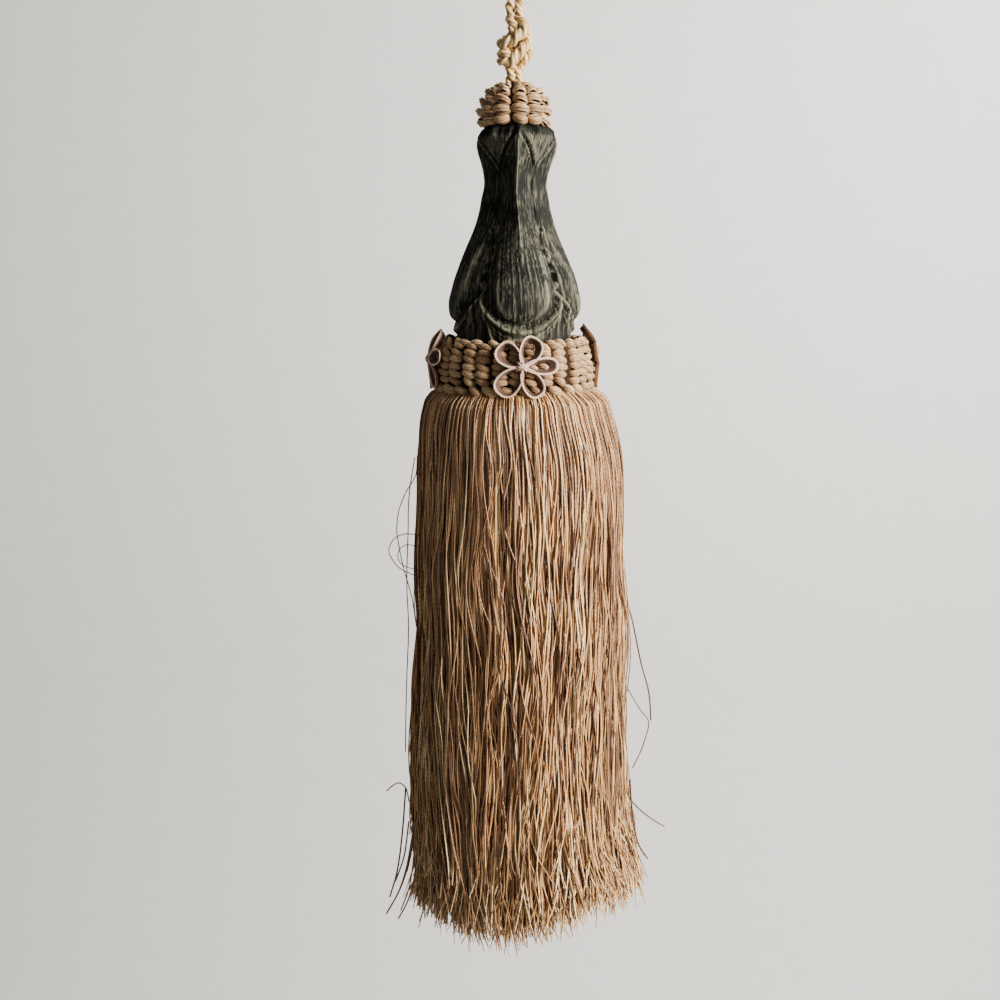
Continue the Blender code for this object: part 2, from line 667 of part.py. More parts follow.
def make_skirt():
    """The heading that sits inside the collar, with every lock's root fused into its underside."""
    chance = random.Random(11)
    locks = []
    for count, place, sides, sections in LOCK_RINGS:
        for number in range(count):
            locks.append(make_lock(count, place, sides, sections, number, chance))
    edge = [around(HEADING_RADIUS, 360 * k / HEADING_SIDES, HEADING_FOOT) for k in range(HEADING_SIDES)]
    outline = [(x, y) for x, y, _ in edge]
    holes = [[(x, y) for x, y, _ in rings[0]] for rings in locks]
    points = list(edge) + [point for rings in locks for point in rings[0]]
    faces = [face[::-1] for face in plate_triangles(outline, holes)]
    start = len(edge)
    for rings in locks:
        sides = len(rings[0])
        roots = list(range(start, start + sides))
        start += sides
        for ring in rings[1:]:
            below = list(range(len(points), len(points) + sides))
            points += ring
            for k in range(sides):
                along = (k + 1) % sides
                faces.append((roots[k], roots[along], below[along], below[k])[::-1])
            roots = below
        faces.append(tuple(roots[::-1]))
    above = list(range(HEADING_SIDES))
    shoulder = ((HEADING_RADIUS, HEADING_TOP), (PLUG_RADIUS, HEADING_TOP), (PLUG_RADIUS, PLUG_TOP))
    for radius, height in shoulder:
        ring = list(range(len(points), len(points) + HEADING_SIDES))
        points += [around(radius, 360 * k / HEADING_SIDES, height) for k in range(HEADING_SIDES)]
        for k in range(HEADING_SIDES):
            along = (k + 1) % HEADING_SIDES
            faces.append((above[k], above[along], ring[along], ring[k]))
        above = ring
    faces.append(tuple(above))
    add_piece("skirt", points, faces, "skirt_threads")


def clear_scene():
    for thing in list(bpy.data.objects):
        bpy.data.objects.remove(thing, do_unlink=True)


clear_scene()
make_loop()
make_knot()
make_neck()
make_cap()
make_head()
make_collar()
for flower in FLOWERS:
    make_flower(*flower)
make_skirt()
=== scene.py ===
import math
import random

import bpy
import numpy as np
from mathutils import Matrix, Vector


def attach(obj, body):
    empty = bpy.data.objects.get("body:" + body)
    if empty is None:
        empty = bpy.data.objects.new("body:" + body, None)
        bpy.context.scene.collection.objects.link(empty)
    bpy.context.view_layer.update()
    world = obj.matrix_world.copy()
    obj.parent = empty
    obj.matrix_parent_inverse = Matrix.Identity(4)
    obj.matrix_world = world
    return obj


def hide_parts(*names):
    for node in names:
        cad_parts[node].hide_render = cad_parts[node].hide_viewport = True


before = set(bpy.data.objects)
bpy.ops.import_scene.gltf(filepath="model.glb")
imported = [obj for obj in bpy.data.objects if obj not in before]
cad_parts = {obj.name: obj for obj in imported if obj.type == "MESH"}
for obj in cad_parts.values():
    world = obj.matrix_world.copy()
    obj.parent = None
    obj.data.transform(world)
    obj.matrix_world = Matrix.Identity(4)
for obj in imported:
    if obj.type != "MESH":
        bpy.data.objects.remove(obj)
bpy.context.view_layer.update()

# Sizes are in millimetres, and heights are measured from the inside top of the hanging loop. Angles around
# the tassel are in degrees from the front, growing towards +X.
MM = 0.001

# Hanging cord
CORD, LAY = 2.7, 6.6  # outer diameter, and the length in which the two plies turn once
PLY, PLY_OFF = 0.84, 0.58  # radius of one ply, and how far its middle is from the cord's middle
PLY_TINTS, PLY_SIDES, ROUTE_STEP = (0.62, 0.38), 20, 0.42
YARNS, YARN_LAY, YARN_RELIEF = 3, 2.6, 0.16  # yarns in a ply, their own turn, height as a share of the ply
KNOT_TOP, KNOT_FOOT = -46.9, -57.2
KNOT_FULLNESS = 1.16  # the cord swells to this share in the knot and below it
KNOT_MIDDLE = (KNOT_TOP + KNOT_FOOT) / 2
LOOP_ROUTE = (
    # x, y, z from the left leg over the bight to the right leg
    (-1.28, 0.0, -41.0),
    (-1.38, 0.0, -35.0),
    (-2.1, 0.1, -28.0),
    (-3.4, 0.2, -21.0),
    (-4.8, 0.2, -14.0),
    (-5.8, 0.1, -8.0),
    (-5.6, 0.0, -3.2),
    (-3.6, 0.0, 0.1),
    (0.0, 0.0, 0.5 * CORD),
    (3.6, 0.0, 0.1),
    (5.7, 0.0, -3.3),
    (6.0, -0.1, -8.2),
    (5.1, -0.2, -14.2),
    (3.7, -0.2, -21.2),
    (2.3, -0.1, -28.2),
    (1.5, 0.0, -35.2),
    (1.28, 0.0, -41.0),
)
RIGHT_STRAND = (
    # x, y, z from the knot's middle, downwards
    (1.25, 0.0, 7.5),
    (2.2, -1.0, 6.1),
    (3.0, -2.2, 4.7),
    (2.0, -3.2, 3.1),
    (0.5, -3.5, 1.6),
    (-1.2, -3.3, 0.5),
    (-2.9, -2.2, 0.2),
    (-3.7, -0.6, 0.4),
    (-2.6, 1.2, 0.4),
    (-0.8, 2.2, -0.9),
    (-0.6, 2.7, -3.0),
    (0.8, 1.7, -4.6),
    (2.8, 0.9, -3.9),
    (3.8, 1.2, -1.7),
    (3.9, 1.5, 0.1),
    (2.8, 2.3, 1.3),
    (0.9, 2.8, 1.3),
    (-1.1, 2.2, 2.0),
    (-2.2, 0.9, 1.5),
    (-1.6, -0.2, -0.2),
    (-0.3, 0.2, -1.6),
    (1.4, 1.4, -2.6),
    (2.0, 2.3, -4.2),
    (1.1, 1.0, -6.0),
    (0.95, 0.3, -8.0),
    (0.95, -0.1, -9.4),
    (1.2, -0.2, -11.4),
)
LEFT_STRAND = (
    # x, y, z from the knot's middle, downwards
    (-1.25, 0.0, 7.5),
    (-0.8, -0.9, 5.6),
    (-0.3, -1.7, 4.0),
    (-0.8, -1.3, 2.4),
    (-1.2, 0.6, 1.2),
    (-2.4, 1.9, -0.4),
    (-3.3, 1.0, -2.0),
    (-3.8, 0.0, -3.2),
    (-3.6, -1.2, -4.3),
    (-2.6, -2.0, -4.9),
    (-0.9, -2.4, -4.6),
    (0.5, -2.6, -3.2),
    (1.8, -2.3, -1.8),
    (3.0, -1.7, -0.2),
    (3.7, -1.0, 1.8),
    (2.6, -0.4, 3.6),
    (0.8, 0.1, 3.4),
    (-1.0, 0.3, 1.9),
    (-2.6, -0.6, 0.0),
    (-3.0, -1.7, -1.8),
    (-2.0, -2.1, -3.0),
    (-1.3, -0.9, -4.5),
    (-1.0, 0.0, -6.2),
    (-0.95, -0.1, -8.0),
    (-0.95, 0.1, -9.4),
    (-1.2, 0.2, -11.4),
)

# Head
LOBES = 4
HEAD_TOP, HEAD_FOOT = -74.8, -140.7
HEAD_PROFILE = (
    # height, lobe radius, valley depth as a share of it, 0 for a sharp ridge to 1 for a round petal
    (HEAD_TOP, 8.8, 0.0, 0.2),
    (-75.8, 10.4, 0.03, 0.2),
    (-77.2, 11.3, 0.1, 0.1),
    (-79.6, 11.8, 0.2, 0.0),
    (-82.0, 11.5, 0.25, 0.0),
    (-85.0, 10.5, 0.29, 0.0),
    (-88.2, 9.6, 0.3, 0.0),
    (-91.4, 9.3, 0.3, 0.05),
    (-95.0, 10.0, 0.3, 0.1),
    (-99.5, 10.9, 0.29, 0.2),
    (-104.5, 12.5, 0.29, 0.35),
    (-109.0, 14.4, 0.28, 0.55),
    (-113.5, 16.4, 0.26, 0.8),
    (-118.0, 18.0, 0.22, 1.0),
    (-122.0, 19.1, 0.19, 1.0),
    (-125.5, 19.8, 0.15, 1.0),
    (-128.5, 19.6, 0.10, 1.0),
    (-131.5, 18.5, 0.06, 1.0),
    (-134.5, 18.0, 0.02, 1.0),
    (HEAD_FOOT, 17.4, 0.0, 1.0),
)
HEAD_DRIFT = (
    # height, how far the carved form has wandered to the right, degrees that it is turned to the right
    (HEAD_TOP, 0.8, 1.0),
    (-84.0, 0.7, 1.0),
    (-93.0, 0.3, 1.5),
    (-101.0, 0.3, 4.0),
    (-112.0, 0.3, 6.0),
    (-125.0, 0.3, 7.0),
    (-133.0, 0.0, 7.0),
    (HEAD_FOOT, 0.0, 7.0),
)
HEAD_COLUMNS, HEAD_RINGS = 344, 160
RIDGE_TO_VALLEY = 3.2  # how late a round petal falls off towards its valley
CAP_SHADOW = -75.9  # height of the strip under the cap that is painted dark as its shadow
EDGE_FOOT = -79.5  # the top edge waves in and out above this height
VALLEY_FOOT = -122.0  # the groove down each valley ends here
TONGUE = (
    # height, half width in degrees of the rounded tongue that each petal ends in
    (-131.2, 0.0),
    (-130.4, 11.0),
    (-128.4, 19.0),
    (-124.4, 25.0),
    (-119.0, 27.5),
    (-112.0, 29.0),
    (-104.0, 36.0),
)
TONGUE_PROUD, TONGUE_START = 1.0, -104.0
RIM_FOOT, RIM_RISE, RIM_REACH, RIM_CURVE = -133.8, 8.8, 42.0, 2.2  # U-shaped rims below the tongue
RIM_GROOVE, RIM_GROOVE_UP = 0.9, 2.3  # depth of the groove above the rims, and its height over the first
RIMS = (
    # how far below the first rim, how proud, half width
    (0.0, 1.25, 1.05),
    (2.3, 0.55, 0.4),
    (3.5, 0.4, 0.35),
)
LEAF_TIP, LEAF_FOOT, LEAF_HALF = -121.5, -135.5, 17.0
FACET_TOP, FACET_TIP, FACET_HALF = -77.8, -87.6, 40.0  # folded triangle at the top of each valley
PIT_DEPTH, PIT_LIP = 1.8, 0.35
PITS = (
    # height, degrees past the valley as seen from the petal, radius of the drilled hole
    (-111.0, 0.5, 1.1),
    (-112.2, 1.5, 0.9),
    (-114.8, 1.5, 1.3),
    (-118.2, 0.0, 1.6),
    (-120.0, 2.0, 1.0),
    (-121.0, 5.5, 1.15),
    (-104.3, -5.0, 0.4),
)
GRAIN_DEPTH, GRAIN_TINT = 0.085, 0.17
GRAIN = (
    # cut lines around the head, share of the depth, how far they sway, over what height, start
    (71, 1.0, 2.0, 9.0, 0.0),
    (113, 0.8, 3.0, 6.0, 1.0),
    (47, 0.6, 2.5, 11.0, 0.0),
)

# Cap
CAP_COLUMNS, CAP_ROWS, CAP_TURN = 12, 5, 8.0
CAP_KNOT_LINE = (
    # radius and height of the middles of the rows of knots
    (5.2, -62.7),
    (8.2, -64.2),
    (10.0, -66.6),
    (11.1, -69.4),
    (11.3, -71.8),
    (10.8, -73.8),
)
CAP_CORE = (
    # radius and height of the form under the knots
    (0.0, -62.6),
    (3.4, -62.7),
    (6.2, -64.9),
    (8.0, -67.6),
    (8.8, -70.5),
    (9.0, -72.6),
    (8.0, -75.2),
    (0.0, -75.3),
)

# Collar. Its looped foot and its top edge stand between the columns of rungs.
COLLAR_COLUMNS, COLLAR_RUNGS = 30, 6
HALF_COLUMN = 180 / COLLAR_COLUMNS
COLLAR_LINE = ((22.5, -137.1), (23.6, -138.9), (24.2, -141.0), (24.6, -144.5), (24.5, -147.6))
COLLAR_LOOP_LINE = ((24.5, -150.3), (24.5, -150.6))
COLLAR_EDGE_LINE = ((21.7, -136.3), (21.8, -136.5))
COLLAR_CORE = (
    # radius and height of the form under the knots
    (18.6, -136.9),
    (20.9, -136.6),
    (22.0, -138.2),
    (22.9, -143.0),
    (22.9, -150.0),
    (22.5, -151.9),
    (22.2, -151.9),
    (22.2, -140.6),
    (18.6, -140.6),
)

# Knots
KNOT_WRAPS, KNOT_STEPS, KNOT_SIDES = 5, 9, 6  # threads in a knot, points along one and around one
KNOT_REACH = 108  # degrees that a thread goes round its column on either side of the front
KNOT_STRAY, KNOT_TILT = 0.14, 0.3  # most that a column strays as a share of its width, and that a knot tilts
# Most that a knot differs in size from the others
KNOT_WIDER, KNOT_DEEPER, KNOT_SHORTER, KNOT_TALLER = 0.12, 0.15, 0.08, 0.14
KNOTS = {
    # width and height, how far it stands out and how much less at its ends, thickness of its thread, lean
    "cap_knot": (4.6, 2.9, 2.5, 1.0, 0.72, -0.16),
    "rung_knot": (4.3, 2.05, 1.8, 0.5, 0.5, -0.2),
    "loop_knot": (4.3, 2.6, 1.8, 0.5, 0.62, -0.34),
}
KNOTWORK = (
    # piece, node that it stands for, knot, line of its rows, columns, rows, degrees turned, width of the
    # column that the knot fits at its own size, how uneven, seed
    ("cap_knots", "cap", "cap_knot", CAP_KNOT_LINE, CAP_COLUMNS, CAP_ROWS, CAP_TURN, 5.8, 0.9, 3),
    ("collar_knots", "collar", "rung_knot", COLLAR_LINE, COLLAR_COLUMNS, COLLAR_RUNGS, 0.0, 4.95, 1.0, 7),
    ("collar_loops", None, "loop_knot", COLLAR_LOOP_LINE, COLLAR_COLUMNS, 1, HALF_COLUMN, 4.8, 1.0, 13),
    ("collar_edge", None, "rung_knot", COLLAR_EDGE_LINE, COLLAR_COLUMNS, 1, HALF_COLUMN, 5.2, 1.5, 17),
)
CORES = (
    # piece, profile, columns
    ("cap_core", CAP_CORE, 44),
    ("collar_core", COLLAR_CORE, 90),
)

# Gimp flowers
FLOWER_SEAT = 25.0  # radius of the collar under the flowers
SUNK = 1.3  # how deep the ribbon sinks between the collar's knots
SEAT_PROFILE = (
    # height, radius of the flowers' underside, which leans in over the collar's top edge
    (-130.0, 18.8),
    (-132.9, 20.8),
    (-134.6, 22.3),
    (-136.2, 23.4),
    (-138.0, 24.2),
    (-140.0, 24.7),
    (-142.5, FLOWER_SEAT),
    (-146.0, 24.8),
    (-150.0, 24.3),
    (-156.0, 24.0),
)
PETALS = (
    # direction seen from the front, length, half width, depth of the ribbon, how far its foot leans in
    (1.0, 10.8, 2.7, 1.3, 0.6),
    (62.0, 9.5, 3.4, 1.4, 0.4),
    (139.0, 9.2, 3.5, 1.4, 0.4),
    (230.0, 10.6, 3.7, 1.4, 0.36),
    (301.0, 10.3, 3.2, 1.4, 0.4),
)
FLOWERS = (
    # node, degrees around the collar, height of its middle, how far its petals are turned
    ("flower_front", 4.7, -142.8, 0.0),
    ("flower_right", 95.0, -141.2, 33.0),
    ("flower_back", 187.0, -142.0, 10.0),
    ("flower_left", 279.0, -142.2, 8.0),
)
PETAL_HUB, PETAL_STEPS, PETAL_FULLNESS = 0.7, 22, 1.25
GIMP_LENGTH, GIMP_HALF = 0.35, 0.3  # what the ribbon's thickness takes off a petal's length and half width
TIES, TIE_REACH, TIE_THREAD = 4, 1.9, 0.36  # stitches that tie the loops together
FIRST_TIE, TIE_TURN = 35, 50  # degrees
GIMP_SECTION = (
    # across the ribbon's thickness, share of its depth
    (-0.16, 0.0),
    (-0.19, 0.4),
    (-0.19, 0.72),
    (-0.28, 0.84),
    (-0.24, 0.96),
    (0.0, 1.02),
    (0.24, 0.96),
    (0.28, 0.84),
    (0.19, 0.72),
    (0.19, 0.4),
    (0.16, 0.0),
)

# Skirt
THREAD_TOP, SKIRT_TOP, SKIRT_FOOT = -149.6, -153.5, -309.0
SKIRT_SPAN = 180.0  # height that the width and shift below reach down over
SWAY = 3.0  # degrees that a thread wanders round
GATHER, BROAD_GATHER = 7.0, 4.0  # how far the threads draw together into locks, and the locks themselves
LOCK_WIDTH, LOCK_HEIGHT, BROAD_WIDTH, BROAD_HEIGHT = 5.5, 48.0, 15.0, 90.0
FOOT_LOWER, FOOT_HIGHER, FOOT_SHORT = 4.5, 4.0, 22.0  # how far ends differ, and how short a few fall
TIP, SPLAY, FLICK = 20.0, 5.5, 5.0  # length of a thread's loose end, and how far it goes sideways and out
CROSSING, WEAVE = 10.0, 2.4  # how far a few threads cross over the others, and weave to and fro
START = 6.28  # radians from which a thread's wave may start
GOLDEN_TURN = math.pi * (3 - math.sqrt(5))
FOOT_LINE = (
    # place across the skirt from the left side at 0 to the right side at 1, height of the foot there
    (0.0, -319.2),
    (0.15, -318.2),
    (0.5, -317.2),
    (0.85, -312.0),
    (1.0, -316.5),
)
SKIRT_WIDTH = (
    # height, half width
    (THREAD_TOP, 21.0),
    (-152.2, 24.8),
    (-154.5, 27.6),
    (-158.0, 28.6),
    (-163.0, 29.9),
    (-172.0, 31.1),
    (-186.0, 31.8),
    (-205.0, 32.1),
    (-225.0, 32.8),
    (-255.0, 33.8),
    (-287.0, 34.9),
    (-308.0, 35.6),
    (-330.0, 34.8),
)
SKIRT_SHIFT = (
    # height, sideways shift
    (THREAD_TOP, 0.0),
    (-154.5, 1.0),
    (-158.0, 1.0),
    (-163.0, 1.35),
    (-172.0, 2.1),
    (-186.0, 2.2),
    (-205.0, 1.7),
    (-225.0, 2.6),
    (-255.0, 2.1),
    (-287.0, 2.6),
    (-308.0, 4.3),
    (-330.0, 4.5),
)
SKIRT_DEPTH = 0.88  # depth of the skirt's foot as a share of its width
LAYERS = (
    # piece, threads, seed, nearest and farthest share of the radius, points in each, wander, thickness
    ("skirt_outer_a", 1000, 11, 0.95, 1.0, 32, 0.6, 0.52),
    ("skirt_outer_b", 1000, 29, 0.9, 0.98, 32, 0.5, 0.55),
    ("skirt_middle_a", 760, 47, 0.76, 0.93, 20, 0.4, 0.62),
    ("skirt_middle_b", 640, 53, 0.6, 0.82, 18, 0.4, 0.7),
    ("skirt_inner", 520, 71, 0.1, 0.62, 12, 0.3, 0.9),
    ("skirt_loose", 190, 83, 0.985, 1.015, 40, 1.3, 0.42),
)
STRAYS = (
    # thickness, then x, y, z along the thread
    (0.32, (-29.6, -3, -172), (-30.2, -3, -178), (-33.2, -3, -183.3), (-35.4, -4, -188.7),
     (-36.2, -4, -194.4), (-35.9, -3, -199.2), (-34.5, -3, -207), (-31.8, -4, -217.1), (-30.5, -5, -226)),
    (0.3, (-28.7, -9, -196), (-30.5, -8, -195.6), (-34, -6, -196), (-37.2, -4, -198), (-38.8, -4, -201.5),
     (-37.6, -5, -204.4), (-35.1, -6, -207), (-31, -8, -208.4), (-28.6, -9, -209)),
    (0.28, (-28.6, -11, -199), (-32.5, -9, -198.6), (-35, -8, -200.2), (-35.7, -8, -202.8),
     (-34.1, -9, -205.1), (-30, -11, -206), (-28.4, -11, -206.5)),
    (0.34, (-30.2, -6, -172), (-32.1, -6, -184), (-32.6, -6, -196), (-33.2, -6, -211),
     (-32.9, -6, -226.4), (-33.6, -6, -240.7), (-34.2, -5, -254.3), (-34.6, -5, -268)),
    (0.5, (33, 0, -204), (35.1, -1, -215.5), (37.8, -2, -225.4), (40.7, -2, -238.7), (43.5, -2, -248.9),
     (44.4, -2, -258.4)),
    (0.36, (34.4, -5, -243), (37.7, -5, -248.9), (40.4, -5, -253.4), (43.4, -4, -258), (42.9, -3, -263),
     (41.2, -3, -268.7), (38.6, -4, -273.9)),
    (0.5, (36, -4, -279), (37.8, -4, -284.1), (40.8, -5, -287.5), (45.2, -6, -290.8), (49.2, -6, -293.3)),
    (0.4, (-33.7, -5, -285), (-34.6, -5, -280.5), (-36.8, -5, -278.6), (-39.2, -5, -279.8),
     (-40.8, -5, -281.4)),
    (0.55, (-31, -16, -288), (-33, -16, -300), (-36.2, -16, -310), (-40.6, -16, -318.5)),
    (0.5, (-30, -18, -292), (-31.4, -18, -305), (-33.6, -18, -313), (-36.6, -18, -319)),
    (0.5, (-32, -14, -292), (-34, -14, -303), (-36.4, -14, -311), (-39, -14, -316.5)),
    (0.45, (-31, -20, -294), (-32.6, -20, -306), (-35.6, -20, -315)),
    (0.5, (-33.5, -9, -290), (-35.2, -9, -302), (-38.2, -9, -311)),
    (0.55, (-34.6, -6, -280), (-36, -6, -296), (-37.8, -6, -308.8), (-40.4, -6, -318.3)),
    (0.5, (37.4, -8, -276), (38.6, -8, -290), (40.6, -9, -298), (43.6, -9, -303)),
)

MARK_TURNS = 17.0  # a thread's mark from 0 to 1 starts its lay this many turns further round
# TIP_HIGHLIGHT: how much paler the loose end of a thread is painted, as a highlight
FIBRES, TINT_DRIFT, TIP_HIGHLIGHT = 11.0, 0.45, 0.26
SILKS = {
    # strands of a thread and the length in which they turn once, how much each thread's own tint counts,
    # fuzz, roughness, depth of the grooves, how light their painted shade stays, and the colours from dark
    # to pale
    "cord_silk": (YARNS, YARN_LAY, 1.0, 0.3, 0.5, 0.08, 0.4, (
        (0.0, (0.5, 0.31, 0.13)),
        (0.5, (0.7, 0.48, 0.23)),
        (1.0, (0.88, 0.67, 0.37)),
    )),
    "knot_silk": (4.0, 1.3, 0.65, 0.3, 0.42, 0.08, 0.38, (
        (0.05, (0.2, 0.1, 0.052)),
        (0.4, (0.42, 0.255, 0.135)),
        (0.7, (0.62, 0.43, 0.235)),
        (0.95, (0.84, 0.66, 0.4)),
    )),
    "skirt_silk": (2.0, 1.5, 0.0, 0.25, 0.42, 0.07, 0.55, (
        (0.02, (0.1, 0.043, 0.023)),
        (0.22, (0.27, 0.13, 0.066)),
        (0.42, (0.48, 0.262, 0.132)),
        (0.6, (0.62, 0.395, 0.175)),
        (0.75, (0.67, 0.38, 0.205)),
        (0.88, (0.84, 0.56, 0.28)),
        (0.98, (0.95, 0.74, 0.44)),
    )),
}

# Studio, in metres
CAMERA_PLACE, CAMERA_DOWN = (-0.0042, -0.3671, -0.113), 11.31
LENS, SENSOR = 43.2, 36.0
LIGHTS = (
    # name, place, target, width, height, watts, colour
    ("window", (0.68, -0.42, 0.02), (0, 0, -0.17), 0.3, 0.6, 22.0, (1.0, 0.97, 0.92)),
    ("wall_wash", (0.7, 0.15, 0.4), (0.0, 0.72, -0.25), 0.7, 0.5, 7.0, (1.0, 0.99, 0.97)),
    ("room", (-0.5, -0.75, 0.25), (0, 0, -0.17), 0.9, 0.9, 1.05, (0.95, 0.96, 1.0)),
)
SKY, SKY_STRENGTH = (0.84, 0.85, 0.86, 1), 0.2
FLOOR, WALL, BEND, BACKDROP_HALF = -0.9, 0.72, 0.42, 2.0


class Value:
    """One socket of a node tree. Arithmetic on a number adds the Math nodes that work it out."""

    def __init__(self, tree, socket):
        self.tree = tree
        self.socket = socket

    def output(self, name):
        return Value(self.tree, self.tree.find(self.socket.node.outputs, name))

    def maths(self, operation, *others):
        return self.tree.number(operation, self, *others)

    def sine(self):
        return self.maths("SINE")

    def cosine(self):
        return self.maths("COSINE")

    def ripple(self):
        """Rises from 0 to 1 and falls back each time that the value grows by 1."""
        return (self * (2 * math.pi)).sine() * 0.5 + 0.5

    def parts(self):
        """The X, Y and Z of a vector."""
        split = self.tree.add("ShaderNodeSeparateXYZ", Vector=self)
        return [split.output(axis) for axis in "XYZ"]

    def __add__(self, other):
        return self.maths("ADD", other)

    def __sub__(self, other):
        return self.maths("SUBTRACT", other)

    def __rsub__(self, other):
        return self.tree.number("SUBTRACT", other, self)

    def __mul__(self, other):
        return self.maths("MULTIPLY", other)

    def __truediv__(self, other):
        return self.maths("DIVIDE", other)

    def __pow__(self, other):
        return self.maths("POWER", other)

    __radd__ = __add__
    __rmul__ = __mul__


class Tree:
    """The nodes of one material or one Geometry Nodes group."""

    def __init__(self, group):
        self.group = group

    def find(self, sockets, key):
        if isinstance(key, int):
            return sockets[key]
        name = key.replace("_", " ")
        return next(socket for socket in sockets if socket.enabled and socket.name == name)

    def add(self, kind, settings=None, *values, **sockets):
        """Adds a node, gives it its settings, and then sets or links its sockets, by number or by name."""
        node = self.group.nodes.new(kind)
        for name, setting in (settings or {}).items():
            if name == "stops":
                self.set_stops(node.color_ramp, setting)
            elif name == "curve":
                self.set_curve(node.mapping, setting)
            else:
                setattr(node, name, setting)
        for key, value in [*enumerate(values), *sockets.items()]:
            socket = self.find(node.inputs, key)
            if isinstance(value, Value):
                self.group.links.new(value.socket, socket)
            else:
                socket.default_value = value
        outputs = [socket for socket in node.outputs if socket.enabled]
        return Value(self, outputs[0]) if outputs else node

    def set_stops(self, ramp, stops):
        while len(ramp.elements) < len(stops):
            ramp.elements.new(1.0)
        for element, (place, colour) in zip(ramp.elements, stops):
            element.position = place
            element.color = (*colour, 1.0)

    def set_curve(self, mapping, points):
        curve = mapping.curves[0]
        while len(curve.points) < len(points):
            curve.points.new(0.5, 0.5)
        for point, place in zip(curve.points, points):
            point.location = place
        mapping.update()

    def number(self, operation, *values):
        return self.add("ShaderNodeMath", {"operation": operation}, *values)

    def vector(self, x, y, z):
        return self.add("ShaderNodeCombineXYZ", X=x, Y=y, Z=z)

    def noise(self, vector, scale, detail=2.0, output="Fac"):
        made = self.add("ShaderNodeTexNoise", Vector=vector, Scale=scale, Detail=detail)
        return made.output(output)

    def mix(self, factor, first, second, blend="MIX"):
        settings = {"data_type": "RGBA", "blend_type": blend}
        return self.add("ShaderNodeMix", settings, Factor=factor, A=first, B=second)

    def ramp(self, value, *stops):
        return self.add("ShaderNodeValToRGB", {"stops": stops}, Fac=value)

    def spot(self):
        """Where a point lies on its piece."""
        return self.add("ShaderNodeTexCoord").output("Object")

    def thread_place(self):
        """Turns around a thread, and millimetres along it."""
        return self.add("ShaderNodeUVMap", {"uv_map": "UVMap"}).parts()[:2]

    def attribute(self, name):
        return self.add("ShaderNodeAttribute", {"attribute_name": name}).output("Fac")

    def relief(self, strength, depth, height):
        """A surface that a height of 1 raises by a depth in millimetres."""
        return self.add("ShaderNodeBump", Strength=strength, Distance=depth * MM, Height=height)

    def change(self, kind, geometry, **sockets):
        """The geometry after one step that changes it."""
        return self.add("GeometryNode" + kind, Geometry=geometry, **sockets)

    def chance(self, low, high, seed, **sockets):
        settings = {"data_type": "FLOAT"}
        return self.add("FunctionNodeRandomValue", settings, Min=low, Max=high, Seed=seed, **sockets)

    def store(self, geometry, name, value, **settings):
        kind = "GeometryNodeStoreNamedAttribute"
        return self.add(kind, settings, Geometry=geometry, Name=name, Value=value)

    def stored(self, name, kind):
        return self.add("GeometryNodeInputNamedAttribute", {"data_type": kind}, Name=name)

    def curve(self, rows, span, value):
        """Height at a value from 0 to 1 of a smooth curve through rows of place and height."""
        points = [(place, height / span) for place, height in rows]
        return self.add("ShaderNodeFloatCurve", {"curve": points}, Value=value) * span

    def between(self, value, low, high, start=0.0, end=1.0):
        """A value's place between two limits, held at them."""
        return self.add("ShaderNodeMapRange", {"clamp": True}, Value=value, From_Min=low, From_Max=high,
                        To_Min=start, To_Max=end)


def smooth_between(table, key, column):
    """Value of one column at a key, on a smooth curve through the table's rows."""
    rows = sorted(table)
    keys = [row[0] for row in rows]
    values = [row[column] for row in rows]
    slopes = np.gradient(values, keys)
    key = min(max(key, keys[0]), keys[-1])
    i = min(int(np.searchsorted(keys, key, side="right")) - 1, len(keys) - 2)
    step = keys[i + 1] - keys[i]
    t = (key - keys[i]) / step
    cubic = values[i] * (2 * t**3 - 3 * t**2 + 1) + values[i + 1] * (3 * t**2 - 2 * t**3)
    return cubic + step * (slopes[i] * (t**3 - 2 * t**2 + t) + slopes[i + 1] * (t**3 - t**2))


def travelled(route):
    """Length from a route's start to each of its points."""
    return np.r_[0, np.cumsum(np.linalg.norm(np.diff(route, axis=0), axis=1))]


def frames(route):
    """Each point of a route with two directions across it, which don't twist around it."""
    ahead = np.gradient(route, axis=0)
    side = np.array((0.0, 1.0, 0.0))
    for centre, front in zip(route, ahead / np.linalg.norm(ahead, axis=1)[:, None]):
        side = side - front * np.dot(side, front)
        side /= np.linalg.norm(side)
        yield centre, side, np.cross(front, side)


def smooth_route(points, step):
    """Points about one step apart on a smooth curve through the route's own points."""
    points = [np.array(p, float) for p in points]
    ends = [2 * points[0] - points[1]] + points + [2 * points[-1] - points[-2]]
    dense = []
    for a, b, c, d in zip(ends, ends[1:], ends[2:], ends[3:]):
        for t in np.linspace(0, 1, 24, endpoint=False):
            bend, twist = 2 * a - 5 * b + 4 * c - d, 3 * b - a - 3 * c + d
            dense.append(0.5 * (2 * b + (c - a) * t + bend * t**2 + twist * t**3))
    dense = np.array(dense + [points[-1]])
    along = travelled(dense)
    places = np.linspace(0, along[-1], max(2, round(along[-1] / step)) + 1)
    return np.stack([np.interp(places, along, dense[:, k]) for k in range(dense.shape[1])], axis=1)


def put(name, data):
    """A new object in the scene."""
    made = bpy.data.objects.new(name, data)
    bpy.context.scene.collection.objects.link(made)
    return made


def around(radius, angle, height):
    turn = math.radians(angle)
    return (radius * math.sin(turn), -radius * math.cos(turn), height)


def bump(distance, width):
    """A smooth hump that is 1 in its middle."""
    return np.exp(-((distance / width) ** 2))


def rise(value):
    """A smooth step from 0 to 1."""
    value = np.clip(value, 0.0, 1.0)
    return value * value * (3 - 2 * value)


